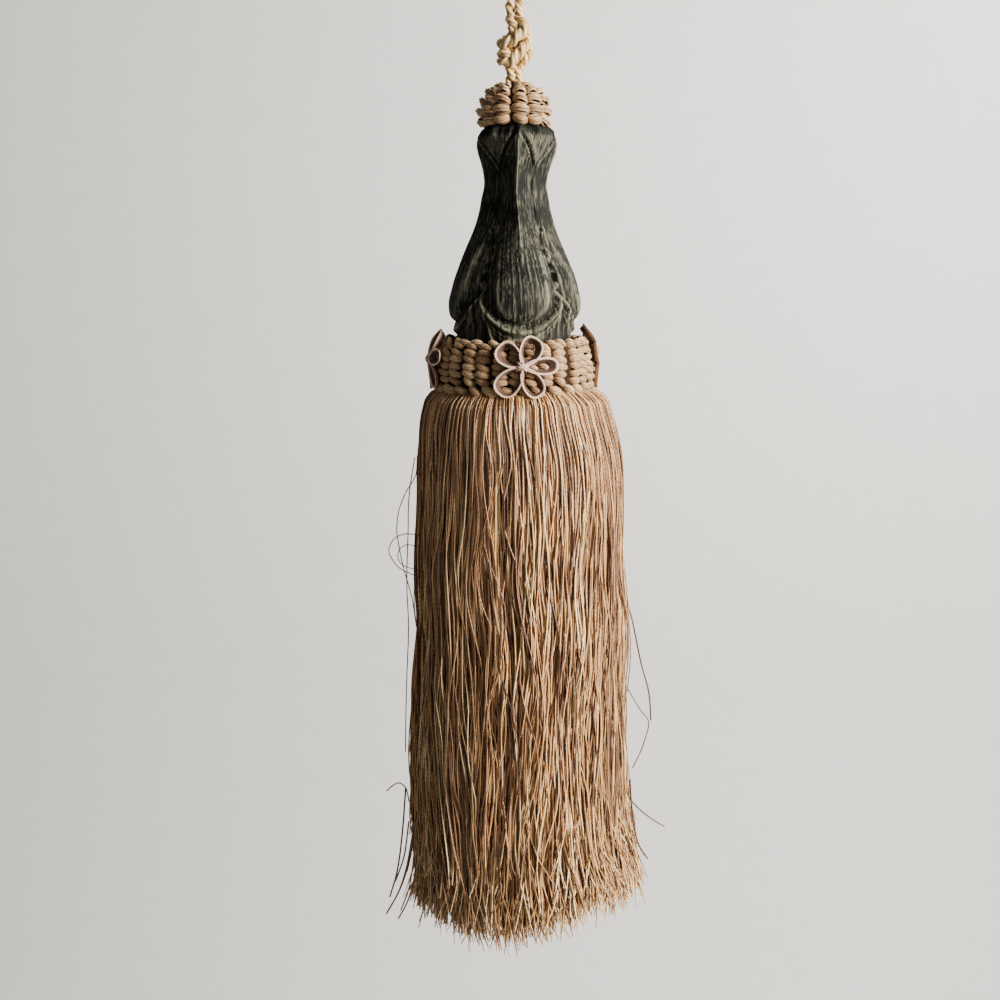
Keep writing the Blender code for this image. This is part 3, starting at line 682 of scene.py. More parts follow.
class Skin:
    """Faces gathered for one piece. Its UV map holds turns around a thread and millimetres along it."""

    def __init__(self):
        self.points = []
        self.faces = []
        self.places = []
        self.marks = []

    def rings(self, rings, along, mark, capped=True):
        """A skin over rings of points, with a fan over each end."""
        sides, start = len(rings[0]), len(self.points)
        for ring in rings:
            self.points.extend(tuple(point) for point in ring)
        self.marks.extend(mark if np.ndim(mark) else [mark] * (sides * len(rings)))
        for i in range(len(rings) - 1):
            near, far = along[i], along[i + 1]
            for k in range(sides):
                after = (k + 1) % sides
                here, there = start + i * sides, start + (i + 1) * sides
                self.faces.append((here + k, here + after, there + after, there + k))
                left, right = k / sides, (k + 1) / sides
                self.places += [(left, near), (right, near), (right, far), (left, far)]
        if not capped:
            return
        for i, ring in ((0, rings[0]), (len(rings) - 1, rings[-1])):
            self.points.append(tuple(np.mean(ring, axis=0)))
            self.marks.append(self.marks[start + i * sides])
            for k in range(sides):
                pair = (start + i * sides + k, start + i * sides + (k + 1) % sides)
                self.faces.append((pair[::-1] if i == 0 else pair) + (len(self.points) - 1,))
                self.places += [(turn / sides, along[i]) for turn in (k, k + 1, k + 0.5)]

    def tube(self, route, radius, sides, mark, relief=None):
        """A thread along a route; relief gives a share of its radius from the angle and the length."""
        route = np.asarray(route, float)
        along = travelled(route)
        radius = np.broadcast_to(radius, len(route))
        angles = 2 * math.pi * np.arange(sides) / sides
        rings = []
        for (centre, side, other), length, thick in zip(frames(route), along, radius):
            reach = thick * (1 if relief is None else relief(angles, length))
            across, up = np.cos(angles) * reach, np.sin(angles) * reach
            rings.append(centre + across[:, None] * side + up[:, None] * other)
        self.rings(rings, along, mark)

    def turned(self, profile, columns):
        """A form turned on the tassel's axis, from a closed or pole-to-pole profile."""
        poles = profile[0][0] == 0 and profile[-1][0] == 0
        rows = list(profile[1:-1]) if poles else [*profile, profile[0]]
        turns = [360 * k / columns for k in range(columns)]
        rings = [[around(radius, turn, height) for turn in turns] for radius, height in rows]
        self.rings(rings, travelled(rows), 0.1, poles)

    def piece(self, name, material, slot, scale=MM):
        points = np.array(self.points, float)
        volume = 0.0
        for face in self.faces:
            for k in range(1, len(face) - 1):
                volume += np.dot(points[face[0]], np.cross(points[face[k]], points[face[k + 1]]))
        mesh = bpy.data.meshes.new(name)
        mesh.from_pydata((points * scale).tolist(), [], self.faces)
        uv = mesh.uv_layers.new(name="UVMap")
        uv.data.foreach_set("uv", np.array(self.places, float).ravel())
        mark = mesh.attributes.new("mark", "FLOAT", "POINT")
        mark.data.foreach_set("value", np.array(self.marks, float))
        if volume < 0:
            mesh.flip_normals()
        mesh.shade_smooth()
        mesh.materials.append(material)
        made = put(name, mesh)
        return dress(made) if slot else made


def dress(piece):
    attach(piece, "root")
    return piece


def plain_shader(name, roughness, **sockets):
    """A material with the values that don't vary, its tree, and what links a varying value."""
    material = bpy.data.materials.new(name)
    material.use_nodes = True
    shader = material.node_tree.nodes["Principled BSDF"]
    shader.inputs["Roughness"].default_value = roughness
    for label, value in sockets.items():
        shader.inputs[label.replace("_", " ")].default_value = value
    tree = Tree(material.node_tree)

    def vary(label, value):
        tree.group.links.new(value.socket, shader.inputs[label])

    return material, tree, vary


def twisted_thread(name):
    """Silky thread laid from strands, its tint varying from thread to thread, with painted shade in its
    grooves.
    """
    strands, lay, own_tint, fuzz, roughness, depth, groove_shade, colours = SILKS[name]
    material, tree, vary = plain_shader(name, roughness, Sheen_Weight=0.35, Sheen_Roughness=0.4,
                                        Sheen_Tint=(1.0, 0.85, 0.68, 1.0), Specular_IOR_Level=0.5)
    turn, along = tree.thread_place()
    mark = tree.attribute("mark")
    spot = tree.spot()
    lines = (turn * strands + along / lay + mark * MARK_TURNS).ripple()
    fibres = (turn * FIBRES + along / (0.6 * lay)).ripple()
    shade = tree.attribute("tint") * (1 - own_tint) + mark * own_tint
    # the loose ends of the skirt's threads are painted paler as a highlight
    shade = shade + (tree.noise(spot, 55.0) - 0.5) * TINT_DRIFT + tree.attribute("tip") * TIP_HIGHLIGHT
    # painted shade: the colour is darkened in the grooves between the strands
    groove = tree.between(lines, 0.0, 0.5, groove_shade, 1.0)
    grey = tree.ramp(groove * (0.8 + fibres * 0.2), (0.0, (0, 0, 0)), (1.0, (1, 1, 1)))
    vary("Base Color", tree.mix(1.0, tree.ramp(shade, *colours), grey, "MULTIPLY"))
    height = lines * 0.7 + fibres * 0.15 + tree.noise(spot, 2600.0) * fuzz
    vary("Normal", tree.relief(0.6, depth, height))
    return material


def carved_wood():
    """Near-black wood with a stretched grain, dry-brushed paler where it stands proud, with a painted shadow
    under the cap.
    """
    material, tree, vary = plain_shader("carved_wood", 0.7, Specular_IOR_Level=0.22)
    spot = tree.spot()
    stretched = tree.add("ShaderNodeMapping", Vector=spot, Scale=(1.0, 1.0, 0.07))
    grain = tree.noise(stretched, 2200.0, 3.0)
    cracks = tree.noise(stretched, 900.0, 1.0)
    blotch = tree.noise(spot, 140.0, 4.0)
    grit = tree.noise(spot, 1900.0)
    # the mark holds the dry-brushed paleness and the painted shadow under the cap
    rubbed_and_cap_shadow = tree.between(tree.attribute("mark") + (grain - 0.5) * 1.1 + (blotch - 0.5) * 0.6, 0.26, 1.0)
    colour = tree.mix(tree.between(blotch, 0.3, 0.7), (0.006, 0.006, 0.005, 1), (0.021, 0.0205, 0.015, 1))
    colour = tree.mix(rubbed_and_cap_shadow, colour, (0.22, 0.207, 0.146, 1))
    open_crack = tree.between(cracks, 0.36, 0.43, 1.0, 0.0)
    vary("Base Color", tree.mix(open_crack * 0.75, colour, (0.008, 0.008, 0.006, 1)))
    vary("Roughness", tree.between(rubbed_and_cap_shadow + grit * 0.4, 0.0, 1.4, 0.78, 0.58))
    vary("Normal", tree.relief(0.8, 0.3, grain * 0.6 + grit * 0.25 + blotch * 0.3 - open_crack * 0.5))
    return material


def painted_gap_shade():
    """Near-black, dull thread under the knots, painted dark as the shade in the gaps between them."""
    material, tree, vary = plain_shader("painted_gap_shade", 0.9, Specular_IOR_Level=0.1)
    drift = tree.noise(tree.spot(), 900.0)
    vary("Base Color", tree.mix(drift, (0.02, 0.011, 0.007, 1), (0.06, 0.033, 0.02, 1)))
    vary("Normal", tree.relief(0.8, 0.3, drift))
    return material


def gimp_braid():
    """Ribbed ribbon, dark on its walls and pale along its outer edge, with painted shade between its ribs.
    """
    material, tree, vary = plain_shader("gimp_braid", 0.6, Sheen_Weight=0.15, Sheen_Roughness=0.5,
                                        Sheen_Tint=(1.0, 0.86, 0.8, 1.0), Specular_IOR_Level=0.35)
    turn, along = tree.thread_place()
    spot = tree.spot()
    ribs = (along / 0.8 + turn * 2.0).ripple()
    wall = tree.mix(tree.noise(spot, 400.0), (0.07, 0.032, 0.022, 1), (0.15, 0.078, 0.055, 1))
    colour = tree.mix(tree.between(tree.attribute("mark"), 0.6, 0.9), wall, (0.64, 0.46, 0.35, 1))
    # painted shade: the grooves between the ribs are darkened
    vary("Base Color", tree.mix(tree.between(ribs, 0.0, 0.6, 0.5, 0.0), colour, (0.05, 0.022, 0.015, 1)))
    vary("Normal", tree.relief(0.6, 0.09, ribs + tree.noise(spot, 2500.0) * 0.3))
    return material


def pale_wall():
    material, tree, vary = plain_shader("pale_wall", 0.9, Specular_IOR_Level=0.2)
    patch = tree.noise(tree.spot(), 70.0, 4.0)
    vary("Base Color", tree.mix(patch, (0.72, 0.71, 0.69, 1), (0.76, 0.75, 0.73, 1)))
    vary("Normal", tree.relief(0.12, 2.0, patch))
    return material


def make_camera():
    lens = bpy.data.cameras.new("camera")
    lens.lens, lens.sensor_width = LENS, SENSOR
    camera = put("camera", lens)
    camera.location = CAMERA_PLACE
    camera.rotation_euler = (math.radians(90 - CAMERA_DOWN), 0, 0)
    bpy.context.scene.camera = camera


def make_backdrop():
    """A floor that bends up into a wall."""
    bends = [(math.sin(a), 1 - math.cos(a)) for a in np.linspace(0, math.pi / 2, 16)]
    sweep = [(-1.6, FLOOR)] + [(WALL - BEND + BEND * back, FLOOR + BEND * up) for back, up in bends]
    sweep += [(WALL, 0.6), (WALL, 1.3)]
    points = [(x, y, z) for y, z in sweep for x in (-BACKDROP_HALF, BACKDROP_HALF)]
    mesh = bpy.data.meshes.new("backdrop")
    corners = range(0, 2 * len(sweep) - 2, 2)
    mesh.from_pydata(points, [], [(i, i + 1, i + 3, i + 2) for i in corners])
    mesh.shade_smooth()
    mesh.materials.append(pale_wall())
    put("backdrop", mesh)


def make_studio():
    for name, place, target, width, height, power, colour in LIGHTS:
        lamp = bpy.data.lights.new(name, "AREA")
        lamp.shape, lamp.size, lamp.size_y = "RECTANGLE", width, height
        lamp.energy, lamp.color = power, colour
        light = put(name, lamp)
        light.location = place
        light.rotation_euler = (Vector(target) - Vector(place)).to_track_quat("-Z", "Y").to_euler()
    world = bpy.data.worlds.new("room")
    world.use_nodes = True
    sky = world.node_tree.nodes["Background"]
    sky.inputs["Color"].default_value = SKY
    sky.inputs["Strength"].default_value = SKY_STRENGTH
    bpy.context.scene.world = world
    bpy.context.scene.view_settings.look = "AgX - Medium High Contrast"
    make_backdrop()


def make_cord(material):
    """Two plies laid around each other along the whole route, each with its own yarns."""
    left = [(x, y, z + KNOT_MIDDLE) for x, y, z in LEFT_STRAND]
    right = [(x, y, z + KNOT_MIDDLE) for x, y, z in RIGHT_STRAND]
    route = smooth_route(left[::-1] + list(LOOP_ROUTE) + right, ROUTE_STEP)
    along = travelled(route)
    full = 1 + (KNOT_FULLNESS - 1) * rise((KNOT_TOP + 3 - route[:, 2]) / 3)
    skin = Skin()
    for ply, mark in enumerate(PLY_TINTS):
        middles = []
        for (centre, side, other), length, share in zip(frames(route), along, full):
            turned = math.pi * ply - 2 * math.pi * length / LAY
            spoke = side * math.cos(turned) + other * math.sin(turned)
            middles.append(centre + spoke * PLY_OFF * share)

        def yarns(angles, length):
            laid = 2 * math.pi * (length / YARN_LAY + MARK_TURNS * mark)
            return 1 + YARN_RELIEF * np.sin(YARNS * angles + laid)

        skin.tube(middles, PLY * full, PLY_SIDES, mark, yarns)
    cord = skin.piece("hanging_cord", material, "cord")
    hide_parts("cord_loop", "cord_knot", "cord_neck")


def petal_tongue(height, off):
    """The rounded end of each petal, proud of the ground beside it."""
    if height >= TONGUE_START:
        return 0.0, 0.0
    reach = smooth_between(TONGUE, height, 1) if height > TONGUE[0][0] else 0.0
    low = rise((TONGUE_START - height) / 8)
    inside = rise((reach - off) / 3.0 + 0.5) if reach > 0 else 0 * off
    return TONGUE_PROUD * low * (inside - 1.0), 0.3 * low * bump(reach - off - 3.0, 3.0)


def petal_rims(height, off, from_valley):
    """U-shaped rims that run round below each tongue, with a groove above them."""
    edge = height - RIM_FOOT - RIM_RISE * (off / RIM_REACH) ** RIM_CURVE
    proud = -RIM_GROOVE * bump(edge - RIM_GROOVE_UP, 1.0)
    lighter = 0 * off
    for below, stands, wide in RIMS:
        reaches = 2 if below == 0 else -1
        ridge = bump(edge + below, wide) * rise((from_valley + reaches) / 4)
        proud += stands * ridge
        lighter += 0.35 * ridge
    return proud, lighter


def valley_leaf(height, from_valley):
    """A pointed, dished leaf with a raised vein in each valley between the petals."""
    down = (LEAF_TIP - height) / (LEAF_TIP - LEAF_FOOT)
    if not 0 < down < 1.35:
        return 0.0, 0.0
    wide = LEAF_HALF * down**0.8
    inside = rise((wide - from_valley) / 1.5)
    blade = 0.9 - 0.7 * rise((wide - 1.5 - from_valley) / 4) + 0.55 * bump(from_valley, 1.2)
    return inside * blade, 0.35 * inside * (bump(from_valley, 1.6) + bump(from_valley - wide + 1, 1.6))


def top_facet(height, from_valley):
    """A folded triangle at the top of each valley, under the cap."""
    share = (height - FACET_TIP) / (FACET_TOP - FACET_TIP)
    if not 0 < share < 1.3:
        return 0.0, 0.0
    wide = FACET_HALF * min(share, 1.0)
    end = rise((1.3 - share) / 0.3)
    fold = 0.4 * rise((wide - from_valley - 4) / 6) + 0.3 * bump(from_valley - wide - 3.5, 2.2)
    proud = end * (fold - 0.9 * bump(from_valley - wide + 1.5, 2.6) * rise(share * 3))
    return proud, 0.25 * rise((wide - from_valley - 3) / 5) + 0.3 * bump(from_valley - wide - 3.5, 2.5)


def cut_grain(height, from_lobe):
    """Fine cut lines that sway down the wood and fade in places, and the uneven top edge."""
    turn = np.radians(from_lobe)
    waves = 0.5 * np.sin(turn * 9 + 1.7) + 0.35 * np.sin(turn * 14) + 0.2 * np.sin(turn * 23)
    proud = rise((height - EDGE_FOOT) / 2.5) * (waves - 0.4)
    strayed = 0.7 * np.sin(height / 7.0 + turn * 3) + 0.4 * np.sin(height / 2.3 + turn * 5)
    turn = turn + np.radians(strayed)
    lines = 0 * turn
    for count, share, sway, over, start in GRAIN:
        lines += share * np.sin(count * turn + sway * np.sin(height / over + start))
    faded = 0.5 + 0.5 * np.sin(5 * turn + height / 8.0) * np.sin(3 * turn - height / 5.0)
    strength = 0.35 + 0.65 * rise((-92 - height) / 20) * rise((height + 133) / 4)
    strength = strength * (0.45 + 0.55 * faded)
    return proud + GRAIN_DEPTH * strength * lines, GRAIN_TINT * strength * lines


def head_row(height, from_lobe):
    """Radius of the carved surface at degrees past the front lobe, and how far it is dry-brushed lighter,
    less under the cap where a shadow is painted.
    """
    half = 180 / LOBES
    off = np.abs((from_lobe + half) % (2 * half) - half)
    from_valley = half - off
    lobe, depth, petal = (smooth_between(HEAD_PROFILE, height, column) for column in (1, 2, 3))
    flat = math.cos(math.radians(half))
    sharp = (1 - flat / np.cos(np.radians(from_valley))) / (1 - flat)
    radius = lobe * (1 - depth * ((1 - petal) * sharp + petal * (off / half) ** RIDGE_TO_VALLEY))
    # painted shadow: the strip just under the cap is kept from being dry-brushed lighter
    rubbed_and_cap_shadow = 0.3 + 0.3 * bump(off, 3.0) * (1 - petal) - 0.6 * bump(height - CAP_SHADOW, 1.5)
    forms = (
        petal_tongue(height, off),
        petal_rims(height, off, from_valley),
        valley_leaf(height, from_valley),
        top_facet(height, from_valley),
    )
    for proud, lighter in forms:
        radius += proud
        rubbed_and_cap_shadow += lighter
    valley = rise((FACET_TIP - height) / 3) * rise((height - VALLEY_FOOT) / 8)
    radius -= 0.5 * valley * bump(from_valley, 3.0)
    for pit_height, past, hole in PITS:
        across = (past + from_valley) * math.pi / 180 * radius
        away = np.hypot(across, height - pit_height)
        radius -= PIT_DEPTH * hole**0.5 * np.exp(-((away / hole) ** 4))
        radius += PIT_LIP * bump(away - hole - 0.45, 0.4)
        rubbed_and_cap_shadow += 0.3 * bump(away - hole - 0.5, 0.45)
    proud, lighter = cut_grain(height, from_lobe)
    return radius + proud, np.clip(rubbed_and_cap_shadow + lighter, 0, 1)


def make_head(material):
    from_lobe = 360 * np.arange(HEAD_COLUMNS) / HEAD_COLUMNS
    heights = np.linspace(HEAD_TOP, HEAD_FOOT, HEAD_RINGS)
    rings, marks = [], []
    for height in heights:
        radius, rubbed_and_cap_shadow = head_row(height, from_lobe)
        shift, turned = (smooth_between(HEAD_DRIFT, height, column) for column in (1, 2))
        turn = np.radians(from_lobe + turned)
        x, y = radius * np.sin(turn) + shift, -radius * np.cos(turn)
        rings.append(np.stack([x, y, np.full(HEAD_COLUMNS, height)], axis=1))
        marks.extend(rubbed_and_cap_shadow)
    skin = Skin()
    skin.rings(rings, HEAD_TOP - heights, marks)
    head = skin.piece("carved_head_form", material, "carved_head")
    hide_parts("head")


def make_knot(name, material):
    """Threads of one knot side by side, arched over the front of their column, their ends tucked in."""
    width, height, bulge, flatter, thread, lean = KNOTS[name]
    turns = np.radians(np.linspace(-KNOT_REACH, KNOT_REACH, KNOT_STEPS))
    skin = Skin()
    for k in range(KNOT_WRAPS):
        level = (k + 0.5) / KNOT_WRAPS - 0.5
        off_middle = (2 * level) ** 2
        across = 0.5 * width * (1 - 0.25 * off_middle) * np.sin(turns)
        out = bulge * (np.cos(turns) * (1 - flatter * off_middle) - 1)
        up = height * level * (1 - 0.35 * np.sin(turns) ** 2) + lean * across
        mark = 0.3 + 0.5 * ((k * 0.618) % 1)
        skin.tube(np.stack([across, -out, up], axis=1), thread / 2, KNOT_SIDES, mark)
    return skin.piece(name, material, None, 1.0)


def geometry_group(name, *inputs):
    """A Geometry Nodes group with named inputs, and what reads one of them."""
    group = bpy.data.node_groups.new(name, "GeometryNodeTree")
    group.interface.new_socket("Geometry", in_out="OUTPUT", socket_type="NodeSocketGeometry")
    for label, kind in inputs:
        group.interface.new_socket(label, in_out="INPUT", socket_type="NodeSocket" + kind)
    tree = Tree(group)
    given = tree.add("NodeGroupInput")
    return tree, given.output


def close_group(tree, geometry, material):
    """Makes the copies real, turns millimetres into metres and sets the material."""
    geometry = tree.change("RealizeInstances", geometry)
    geometry = tree.change("Transform", geometry, Scale=(MM, MM, MM))
    geometry = tree.change("SetShadeSmooth", geometry)
    geometry = tree.change("SetMaterial", geometry, Material=material)
    tree.add("NodeGroupOutput", Geometry=geometry)


def grow(name, group, slot, start=None, **inputs):
    """The plain mesh that a group makes from a starting mesh and its named inputs."""
    made = put(name, start or bpy.data.meshes.new(name))
    modifier = made.modifiers.new(name, "NODES")
    modifier.node_group = group
    for item in group.interface.items_tree:
        if item.in_out == "INPUT" and item.name in inputs:
            modifier[item.identifier] = inputs[item.name]
    graph = bpy.context.evaluated_depsgraph_get()
    mesh = bpy.data.meshes.new_from_object(made.evaluated_get(graph), depsgraph=graph)
    made.modifiers.clear()
    made.data = mesh
    return dress(made)


def knotted_columns():
    """Copies of a knot down every column of a turned profile, each a little uneven."""
    tree, given = geometry_group("knotted_columns", ("Geometry", "Geometry"), ("Columns", "Int"),
                                 ("Rows", "Int"), ("Turn", "Float"), ("Knot", "Object"),
                                 ("Width", "Float"), ("Uneven", "Float"), ("Seed", "Int"),
                                 ("Material", "Material"))
    uneven = given("Uneven")

    def chance(step, low, high):
        return tree.chance(low, high, given("Seed") + step)

    line = tree.add("GeometryNodeMeshToCurve", Mesh=given("Geometry"))
    places = tree.add("GeometryNodeCurveToPoints", Curve=line, Count=given("Rows"))
    rows = tree.store(places, "slope", places.output("Tangent"), data_type="FLOAT_VECTOR")
    copies = tree.add("GeometryNodeDuplicateElements", {"domain": "POINT"}, Geometry=rows,
                      Amount=given("Columns"))
    number = copies.output("Duplicate Index")
    stray = tree.chance(-KNOT_STRAY, KNOT_STRAY, given("Seed"), ID=number)
    turn = ((number + stray * uneven) / given("Columns")) * (2 * math.pi) + given("Turn")
    sine, cosine = turn.sine(), turn.cosine()
    radius, _, height = tree.add("GeometryNodeInputPosition").parts()
    across, _, down = tree.stored("slope", "FLOAT_VECTOR").parts()
    up = tree.vector(across * sine * -1.0, across * cosine, down * -1.0)
    inward = tree.vector(down * sine, down * cosine * -1.0, across * -1.0)
    facing = tree.add("FunctionNodeAxesToRotation", {"primary_axis": "Z", "secondary_axis": "Y"},
                      Primary_Axis=up, Secondary_Axis=inward)
    tilt = tree.add("FunctionNodeAxisAngleToRotation", Axis=(0, 1, 0),
                    Angle=chance(1, -KNOT_TILT, KNOT_TILT) * uneven)
    facing = tree.add("FunctionNodeRotateRotation", {"rotation_space": "LOCAL"}, Rotation=facing,
                      Rotate_By=tilt)
    fit = radius * (2 * math.pi) / given("Columns") / given("Width")
    wide = fit * (1.0 + chance(2, -KNOT_WIDER, KNOT_WIDER) * uneven)
    deep = (0.35 + fit * 0.65) * (1.0 + chance(3, -KNOT_DEEPER, KNOT_DEEPER) * uneven)
    tall = 1.0 + chance(4, -KNOT_SHORTER, KNOT_TALLER) * uneven
    seats = tree.store(copies, "tint", chance(5, 0.0, 1.0))
    seats = tree.store(seats, "size", tree.vector(wide, deep, tall), data_type="FLOAT_VECTOR")
    seats = tree.store(seats, "facing", facing, data_type="QUATERNION")
    set_out = tree.vector(radius * sine, radius * cosine * -1.0, height)
    seats = tree.change("SetPosition", seats, Position=set_out)
    knot = tree.add("GeometryNodeObjectInfo", Object=given("Knot")).output("Geometry")
    knots = tree.add("GeometryNodeInstanceOnPoints", Points=seats, Instance=knot,
                     Rotation=tree.stored("facing", "QUATERNION"),
                     Scale=tree.stored("size", "FLOAT_VECTOR"))
    close_group(tree, knots, given("Material"))
    return tree.group


def make_knotwork(material, shade):
    group = knotted_columns()
    knots = {name: make_knot(name, material) for name in KNOTS}
    for name, node, knot, line, columns, rows, turn, width, uneven, seed in KNOTWORK:
        route = smooth_route([(radius, 0.0, height) for radius, height in line], 0.5)
        start = bpy.data.meshes.new(name + "_line")
        start.from_pydata(route.tolist(), [(k, k + 1) for k in range(len(route) - 1)], [])
        piece = grow(name, group, "knots", start, Columns=columns, Rows=rows, Turn=math.radians(turn),
                     Knot=knots[knot], Width=width, Uneven=uneven, Seed=seed, Material=material)
        if node:
            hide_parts(node)
    for knot in knots.values():
        bpy.data.objects.remove(knot, do_unlink=True)
    # the forms under the knots wear the painted shade that shows in the gaps
    for name, profile, columns in CORES:
        core = Skin()
        core.turned(profile, columns)
        core.piece(name, shade, "knots")


def petal_path(direction, length, half):
    """Teardrop that the ribbon runs round, seen from the front, from the hub out and back."""
    turn = math.radians(direction)
    shares = np.linspace(0, 1, PETAL_STEPS + 1)
    out = PETAL_HUB + (length - GIMP_LENGTH - PETAL_HUB) * (1 - np.cos(math.pi * shares)) / 2
    wide = (half - GIMP_HALF) * np.abs(np.sin(math.pi * shares**PETAL_FULLNESS)) ** 0.8
    out, wide = np.r_[out, out[-2:0:-1]], np.r_[-wide, wide[-2:0:-1]]
    x = out * math.cos(turn) - wide * math.sin(turn)
    y = out * math.sin(turn) + wide * math.cos(turn)
    return np.stack([x, y], axis=1)


def make_flower(name, middle, hub_height, turn, material):
    """Five loops of ribbon standing on edge round a stitched hub, bent to the collar's swell."""

    def on_collar(x, y, proud):
        radius = smooth_between(SEAT_PROFILE, hub_height + y, 1) + proud
        return around(radius, middle + math.degrees(x / FLOWER_SEAT), hub_height + y)

    skin = Skin()
    for direction, length, half, depth, narrowing in PETALS:
        path = petal_path(direction + turn, length, half)
        run = np.roll(path, -1, axis=0) - np.roll(path, 1, axis=0)
        run /= np.linalg.norm(run, axis=1)[:, None]
        rings = []
        for (x, y), (ahead_x, ahead_y), place in zip(path, run, path - path.mean(axis=0)):
            ring = []
            for across, share in GIMP_SECTION:
                shift = across * np.array((ahead_y, -ahead_x)) - place * narrowing * (1 - share)
                ring.append(on_collar(x + shift[0], y + shift[1], (depth + SUNK) * share - SUNK))
            rings.append(ring)
        rings.append(rings[0])
        # painted light and shade: the outer face of each loop turns pale from lower down than the inner
        # face, which stays darker
        pale_from = [(share, 0.3 if across > 0 else 0.7) for across, share in GIMP_SECTION]
        marks = [min(max((share - start) / 0.22, 0.0), 1.0) for share, start in pale_from]
        skin.rings(rings, travelled(np.vstack([path, path[:1]])), marks * len(rings), capped=False)
    for k in range(TIES):
        lean = math.radians(FIRST_TIE + TIE_TURN * k)
        tie = []
        for share in np.linspace(-1, 1, 9):
            x, y = TIE_REACH * share * math.cos(lean), TIE_REACH * share * math.sin(lean)
            tie.append(on_collar(x, y, (1.4 + 0.16 * k) * (1 - share**4)))
        skin.tube(tie, TIE_THREAD, 6, 0.85)
    flower = skin.piece(name + "_gimp", material, "gimp")
    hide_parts(name)


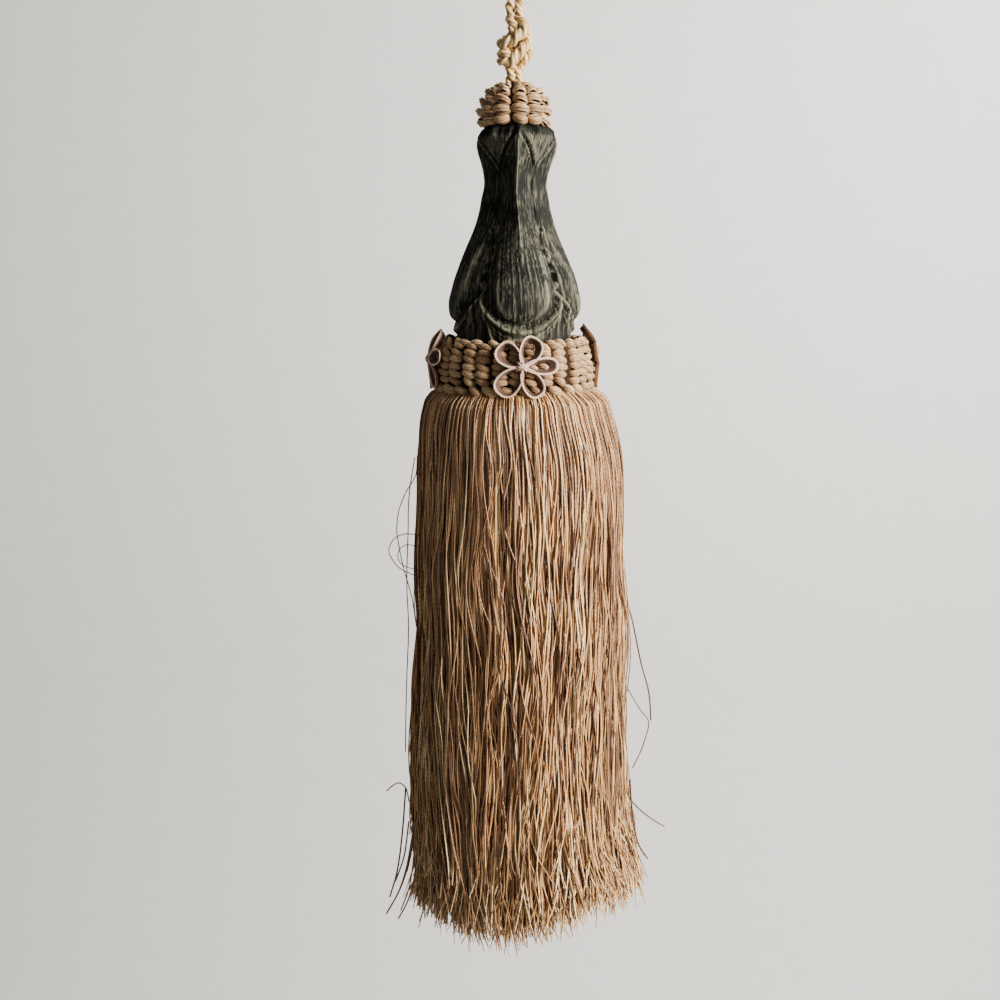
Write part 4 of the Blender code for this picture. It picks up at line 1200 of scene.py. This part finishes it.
def hanging_threads():
    """Threads that start under the collar, spread to the skirt's width and gather in locks."""
    tree, given = geometry_group("hanging_threads", ("Threads", "Int"), ("Seed", "Int"),
                                 ("Nearest", "Float"), ("Farthest", "Float"), ("Thickness", "Float"),
                                 ("Points", "Int"), ("Gather", "Float"), ("Wander", "Float"),
                                 ("Material", "Material"))
    index = tree.add("GeometryNodeInputIndex")

    def each(value):
        """A value worked out once for each thread."""
        settings = {"domain": "CURVE", "data_type": "FLOAT"}
        return tree.add("GeometryNodeFieldOnDomain", settings, Value=value)

    def chance(step, low=0.0, high=1.0):
        return each(tree.chance(low, high, given("Seed") + step, ID=index))

    # Where each thread stands, and where it ends
    share = given("Nearest") + (given("Farthest") - given("Nearest")) * chance(1)
    angle = each(index) * GOLDEN_TURN + chance(2, -0.02, 0.02)
    down = tree.add("GeometryNodeSplineParameter").output("Factor") ** 1.5
    lowest = [(place, SKIRT_FOOT - height) for place, height in FOOT_LINE]
    foot = SKIRT_FOOT - tree.curve(lowest, 20.0, share * angle.sine() * 0.5 + 0.5)
    foot = foot + chance(4, -FOOT_LOWER, FOOT_HIGHER) + chance(3) ** 6 * FOOT_SHORT
    height = THREAD_TOP + (foot - THREAD_TOP) * down
    tip = tree.between(height - foot, TIP, 0.0)

    def wave(length_step, shortest, longest, start_step):
        """A sine down each thread, with its own length and its own start."""
        return (height / chance(length_step, shortest, longest) + chance(start_step, 0.0, START)).sine()

    # The form that the skirt hangs in
    level = (THREAD_TOP - height) / SKIRT_SPAN
    widths, shifts = (
        [((THREAD_TOP - z) / SKIRT_SPAN, size) for z, size in table]
        for table in (SKIRT_WIDTH, SKIRT_SHIFT)
    )
    hang = tree.between(height, SKIRT_TOP, SKIRT_FOOT)
    flat = 1.0 - hang**0.6 * (1 - SKIRT_DEPTH)
    turn = angle + hang * math.radians(SWAY) * ((angle * 3.0 + hang * 4.0).sine() + chance(5, -0.5, 0.5))
    sine, cosine = turn.sine(), turn.cosine()
    reach = tree.curve(widths, 50.0, level) * share
    x, y = reach * sine, reach * cosine * -1.0 * flat

    # What moves a thread sideways and outwards from that form
    lock = tree.vector(x / LOCK_WIDTH, y / LOCK_WIDTH, height / LOCK_HEIGHT)
    gather = tree.noise(lock, 1.0, 1.0, "Color").parts()
    group_of_locks = tree.vector(x / BROAD_WIDTH, y / BROAD_WIDTH, height / BROAD_HEIGHT + 7.0)
    broad = tree.noise(group_of_locks, 1.0, 0.0, "Color").parts()
    spread = tree.between(hang, 0.0, 0.4, 0.1, 1.0)
    loosened = tree.between(hang, 0.02, 0.5) * given("Wander")
    push = (gather[0] - 0.5) * given("Gather") * spread + (broad[0] - 0.5) * BROAD_GATHER * spread
    push = push + (wave(6, 4.0, 9.0, 7) * 0.5 + wave(16, 9.0, 22.0, 17)) * loosened
    crossing = chance(8) ** 3 * chance(9, -1.0, 1.0) * CROSSING
    weave = wave(19, 7.0, 16.0, 18) * chance(20) ** 2 * WEAVE
    push = push + (crossing * hang + weave) * tree.between(hang, 0.0, 0.12)
    push = push + tip**1.6 * chance(21, -1.0, 1.0) * SPLAY
    lift = (gather[1] - 0.5) * given("Gather") * 0.55 + (broad[1] - 0.5) * BROAD_GATHER * 0.6
    lift = lift * spread
    lift = lift + tip**2 * chance(10) ** 3 * FLICK + wave(11, 5.0, 14.0, 12) * 0.7 * loosened
    x = x + push * cosine + lift * sine + tree.curve(shifts, 10.0, level)
    y = y + push * sine - lift * cosine

    line = tree.add("GeometryNodeCurvePrimitiveLine", Start=(0, 0, 0), End=(0, 0, -1))
    line = tree.add("GeometryNodeResampleCurve", Curve=line, Count=given("Points"))
    seats = tree.add("GeometryNodePoints", Count=given("Threads"))
    threads = tree.add("GeometryNodeInstanceOnPoints", Points=seats, Instance=line)
    threads = tree.change("RealizeInstances", threads)
    threads = tree.change("SetPosition", threads, Position=tree.vector(x, y, height))
    threads = tree.store(threads, "tint", chance(13), domain="CURVE")
    threads = tree.store(threads, "mark", chance(14), domain="CURVE")
    # the material paints the loose end paler by this share, as a highlight
    threads = tree.store(threads, "tip", tip)
    threads = tree.store(threads, "along", tree.add("GeometryNodeSplineParameter").output("Length"))
    section = tree.add("GeometryNodeCurvePrimitiveCircle", Resolution=3, Radius=given("Thickness") * 0.55)
    section = tree.store(section, "around", tree.add("GeometryNodeSplineParameter").output("Factor"))
    taper = tree.between(down, 0.985, 1.0, 1.0, 0.6) * chance(15, 0.8, 1.12)
    skin = tree.add("GeometryNodeCurveToMesh", Curve=threads, Profile_Curve=section, Scale=taper,
                    Fill_Caps=True)
    place = tree.vector(tree.stored("around", "FLOAT"), tree.stored("along", "FLOAT"), 0.0)
    skin = tree.store(skin, "UVMap", place, data_type="FLOAT2", domain="CORNER")
    close_group(tree, skin, given("Material"))
    return tree.group


def make_skirt(material):
    group = hanging_threads()
    for name, threads, seed, nearest, farthest, points, wander, thickness in LAYERS:
        layer = grow(name, group, "skirt_threads", Threads=threads, Seed=seed, Nearest=nearest,
                     Farthest=farthest, Thickness=thickness, Points=points, Gather=GATHER, Wander=wander,
                     Material=material)
        if name == LAYERS[0][0]:
            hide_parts("skirt")
    skin = Skin()
    chance = random.Random(5)
    for thickness, *points in STRAYS:
        skin.tube(smooth_route(points, 0.8), thickness / 2, 5, chance.random())
    skin.piece("stray_threads", material, "skirt_threads")


make_camera()
make_cord(twisted_thread("cord_silk"))
make_studio()
make_head(carved_wood())
make_knotwork(twisted_thread("knot_silk"), painted_gap_shade())
gimp = gimp_braid()
for flower in FLOWERS:
    make_flower(*flower, gimp)
make_skirt(twisted_thread("skirt_silk"))
